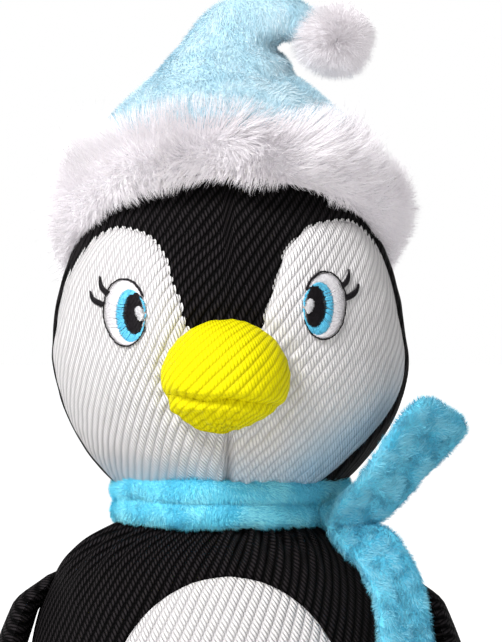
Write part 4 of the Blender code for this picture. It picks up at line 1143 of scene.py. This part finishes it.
# ---------------------------------------------------------------- scarf
def build_scarf():
    section = catmull([
        (26.0, 104.6), (30.5, 104.0), (33.6, 105.2), (34.6, 107.8), (33.9, 110.4), (33.0, 111.3), (33.9, 112.3),
        (34.4, 114.6), (33.2, 117.2), (30.6, 117.6), (27.6, 114.0), (26.0, 111.0), (25.8, 107.5),
    ], 5, closed=True)
    around = 220
    a = np.linspace(0, 2 * math.pi, around, endpoint=False)
    drift = 0.8 * np.sin(a * 2 + 0.6) + 0.5 * np.sin(a * 5 + 2)
    swell = 0.6 * np.sin(a * 3 + 1) + 0.35 * np.sin(a * 9)
    rings = []
    for c, s, rise, grow in zip(np.cos(a), np.sin(a), drift * 0.5, swell):
        r = section[:, 0] + grow * (section[:, 0] > 30)
        rings.append(np.stack([r * c, r * s * 0.95, section[:, 1] + rise], -1))
    p = np.concatenate(rings)
    columns = len(section)
    faces, normals = outward(p, ring_faces(around, columns), unit(p - [0, 0, 111]))
    p = p + normals * (0.55 * field(p, 7.0, 4.0) + 0.2 * field(p, 2.5, 1.0))[:, None]
    band = make("scarf_band_cloth", p, faces, MATERIALS["scarf"], "body", ("scarf_band",), "blue_minky")
    centre = p[faces].mean(1)
    seen = np.hypot(centre[:, 0], centre[:, 1]) > 29.5
    pile("scarf_band_pile", p, faces[seen], 10.0, 1.5, 0.14, ("scarf_a", "scarf_b"), "body", "blue_minky", 31,
         (0.5, 0, -0.5))

    knot = np.array([31.5, -18.8, 107.6])
    n, f = cube_sphere(26)
    q = knot + n * np.array([6.2, 6.0, 4.8])
    q = q + n * (0.9 * field(q, 6.0, 3.0))[:, None]
    piece = make("scarf_knot_cloth", q, f, MATERIALS["scarf"], "body", ("scarf_knot",), "blue_minky")
    pile("scarf_knot_pile", q, f, 10.0, 1.4, 0.14, ("scarf_a", "scarf_b"), "body", "blue_minky", 32,
         (0.5, 0, 0.2))

    upper = [  # middle of the strip, direction across it, half width, half thickness
        ((34.0, -24.6, 104.9), (1.0, 0.25, 0.02), 6.7, 2.2),
        ((38.0, -26.6, 109.6), (0.82, 0.42, -0.40), 7.2, 2.3),
        ((43.4, -27.3, 115.0), (0.68, 0.53, -0.54), 7.9, 2.4),
        ((48.6, -26.5, 121.6), (0.66, 0.56, -0.56), 8.5, 2.4),
        ((53.8, -25.2, 128.2), (0.64, 0.56, -0.58), 9.3, 2.4),
        ((58.2, -24.0, 133.0), (0.62, 0.54, -0.60), 9.7, 2.3),
        ((61.4, -23.4, 135.8), (0.66, 0.50, -0.56), 9.6, 2.2),
        ((63.8, -23.0, 137.3), (0.70, 0.48, -0.50), 9.4, 2.2),
    ]
    ribbon("scarf_end_upper", upper, 33)
    lower = [
        ((35.0, -25.0, 103.6), (1.0, 0.25, 0.05), 7.3, 2.0),
        ((38.4, -28.6, 100.8), (0.9, 0.3, 0.35), 7.3, 2.3),
        ((43.2, -32.0, 96.2), (0.74, 0.42, 0.54), 7.4, 2.3),
        ((47.4, -35.4, 88.4), (0.80, 0.45, 0.36), 7.8, 2.3),
        ((49.6, -38.0, 78.0), (0.86, 0.45, 0.18), 8.0, 2.3),
        ((50.8, -39.0, 66.0), (0.88, 0.46, 0.08), 8.2, 2.3),
        ((51.2, -39.2, 58.6), (0.88, 0.46, 0.04), 8.2, 2.3),
        ((51.3, -39.2, 56.2), (0.88, 0.46, 0.04), 8.2, 2.3),
    ]
    ribbon("scarf_end_lower", lower, 34)


def ribbon(name, rows, seed):
    """One loose end of the scarf: a soft double strip with a rounded end."""
    data = catmull(np.array([[*c, *v, w, t] for c, v, w, t in rows]), 10)
    done = np.r_[0, np.cumsum(np.linalg.norm(np.diff(data[:, :3], axis=0), axis=1))]
    turn = np.linspace(0, math.pi / 2, 14)[1:] * 0.985
    places = np.r_[np.linspace(0, done[-1] - ROUND, 70), done[-1] - ROUND + ROUND * np.sin(turn)]
    data = np.stack([np.interp(places, done, column) for column in data.T], -1)
    data[-len(turn):, 6] *= 1 - 0.75 * (1 - np.cos(turn))
    data[-len(turn):, 7] *= np.cos(turn) ** 0.5
    count, around = len(data), 44
    along = unit(np.gradient(data[:, :3], axis=0))
    side = unit(data[:, 3:6])
    face = unit(np.cross(along, side))
    a = np.linspace(0, 2 * math.pi, around, endpoint=False)
    flat = np.sign(np.cos(a)) * np.abs(np.cos(a)) ** 0.45
    thick = np.sign(np.sin(a)) * np.abs(np.sin(a)) ** 0.5
    p = (data[:, None, :3] + side[:, None] * (flat[None, :, None] * data[:, None, 6:7])
         + face[:, None] * (thick[None, :, None] * data[:, None, 7:8])).reshape(-1, 3)
    quads, normals = outward(p, grid_faces(count, around), p - np.repeat(data[:, :3], around, axis=0))
    p = p + normals * (0.5 * field(p, 8.0, seed) + 0.2 * field(p, 3.0, 1.0))[:, None]
    ends = [list(range(around)), [(count - 1) * around + k for k in range(around)][::-1]]
    shape = [list(f) for f in quads] + ends
    cloth = make(f"{name}_cloth", p, shape, MATERIALS["scarf"], None, (name,), "blue_minky")
    # the pile takes the darker, greyer shades, painted shade for an end turned from the key light
    nap = pile(f"{name}_pile", p, quads, 9.0, 1.6, 0.16, ("tail_a", "tail_b"), None, "blue_minky", seed,
               tuple(along.mean(0) * 0.8), 4.5)
    for piece in (cloth, *nap):  # the cloth and its pile
        Vector(rows[0][0]) * MM
        Vector(rows[2][0]) * MM
        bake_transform(piece)


# ---------------------------------------------------------------- stage
def soft_light(name, place, target, size, power, colour=(1, 1, 1)):
    data = bpy.data.lights.new(name, "AREA")
    data.shape = "RECTANGLE"
    data.size, data.size_y = size
    data.energy = power
    data.color = colour
    obj = bpy.data.objects.new(name, data)
    obj.location = place
    obj.rotation_euler = (Vector(target) - Vector(place)).to_track_quat("-Z", "Y").to_euler()
    bpy.context.scene.collection.objects.link(obj)


def build_stage():
    g = Graph("studio_floor")
    at = g.position()
    paper = g.mix(g.noise(at, 30.0, 3.0), (0.80, 0.80, 0.80), (0.83, 0.83, 0.83))
    reach = g.node("ShaderNodeVectorMath", {0: at}, operation="LENGTH").outputs["Value"]
    g.plug(g.shader.inputs["Emission Color"], (1, 1, 1, 1))
    g.plug(g.shader.inputs["Emission Strength"], g.math("MULTIPLY", g.ramp(reach, 0.65, 1.2), 0.96))
    p = [(-30000, -30000, 0), (30000, -30000, 0), (30000, 30000, 0), (-30000, 30000, 0)]
    make("floor", p, [(0, 1, 2, 3)], g.finish(paper, 0.9), None)
    world = bpy.data.worlds.new("studio")
    world.use_nodes = True
    tree = world.node_tree
    sky = tree.nodes["Background"]
    at = tree.nodes.new("ShaderNodeTexCoord")
    split = tree.nodes.new("ShaderNodeSeparateXYZ")
    tree.links.new(at.outputs["Generated"], split.inputs[0])
    ramp = tree.nodes.new("ShaderNodeMapRange")
    tree.links.new(split.outputs[2], ramp.inputs["Value"])
    for key, value in (("From Min", 0.07), ("From Max", 0.17), ("To Min", 1.0), ("To Max", 0.17)):
        ramp.inputs[key].default_value = value
    tree.links.new(ramp.outputs[0], sky.inputs["Strength"])
    sky.inputs["Color"].default_value = (1, 1, 1, 1)
    bpy.context.scene.world = world
    soft_light("key", (-0.70, -0.86, 1.16), (0, 0, 0.16), (0.5, 0.5), 29)
    soft_light("fill", (0.9, -1.2, 0.7), (0, 0, 0.15), (0.9, 0.9), 2.2)

    camera = bpy.data.cameras.new("camera")
    distance = 1.6
    camera.sensor_fit = "VERTICAL"
    camera.sensor_height = 24
    camera.lens = 24 * distance / (642 * 0.29 * MM)
    camera.clip_start, camera.clip_end = 0.05, 20
    obj = bpy.data.objects.new("camera", camera)
    obj.location = (0.0064, -distance, 0.163)
    obj.rotation_euler = (math.pi / 2, 0, 0)
    bpy.context.scene.collection.objects.link(obj)
    bpy.context.scene.camera = obj
    bpy.context.scene.view_settings.view_transform = "Standard"
    bpy.context.scene.view_settings.look = "None"


# ---------------------------------------------------------------- all of it
build_head()
build_beak()
build_beak_filling()
build_eye("right", (-29.1, 165.3), -1)
build_eye("left", (26.9, 167.3), 1)
build_brim()
build_hat()
build_pompom()
build_body()
build_limbs()
build_scarf()

for key, nodes in {
    "fill": ["head_stuffing", "neck_stuffing", "hat_stuffing", "body_stuffing", "stuffing_plug",
             "flipper_left_stuffing", "flipper_right_stuffing", "foot_left_stuffing", "foot_right_stuffing",
             "tail_stuffing"],
    "vinyl": ["squeaker_bulb", "squeaker_reed"],
    "label": ["care_label"],
}.items():
    for node in nodes:
        for place in bpy.data.objects[node].material_slots:
            place.material = MATERIALS[key]

build_stage()
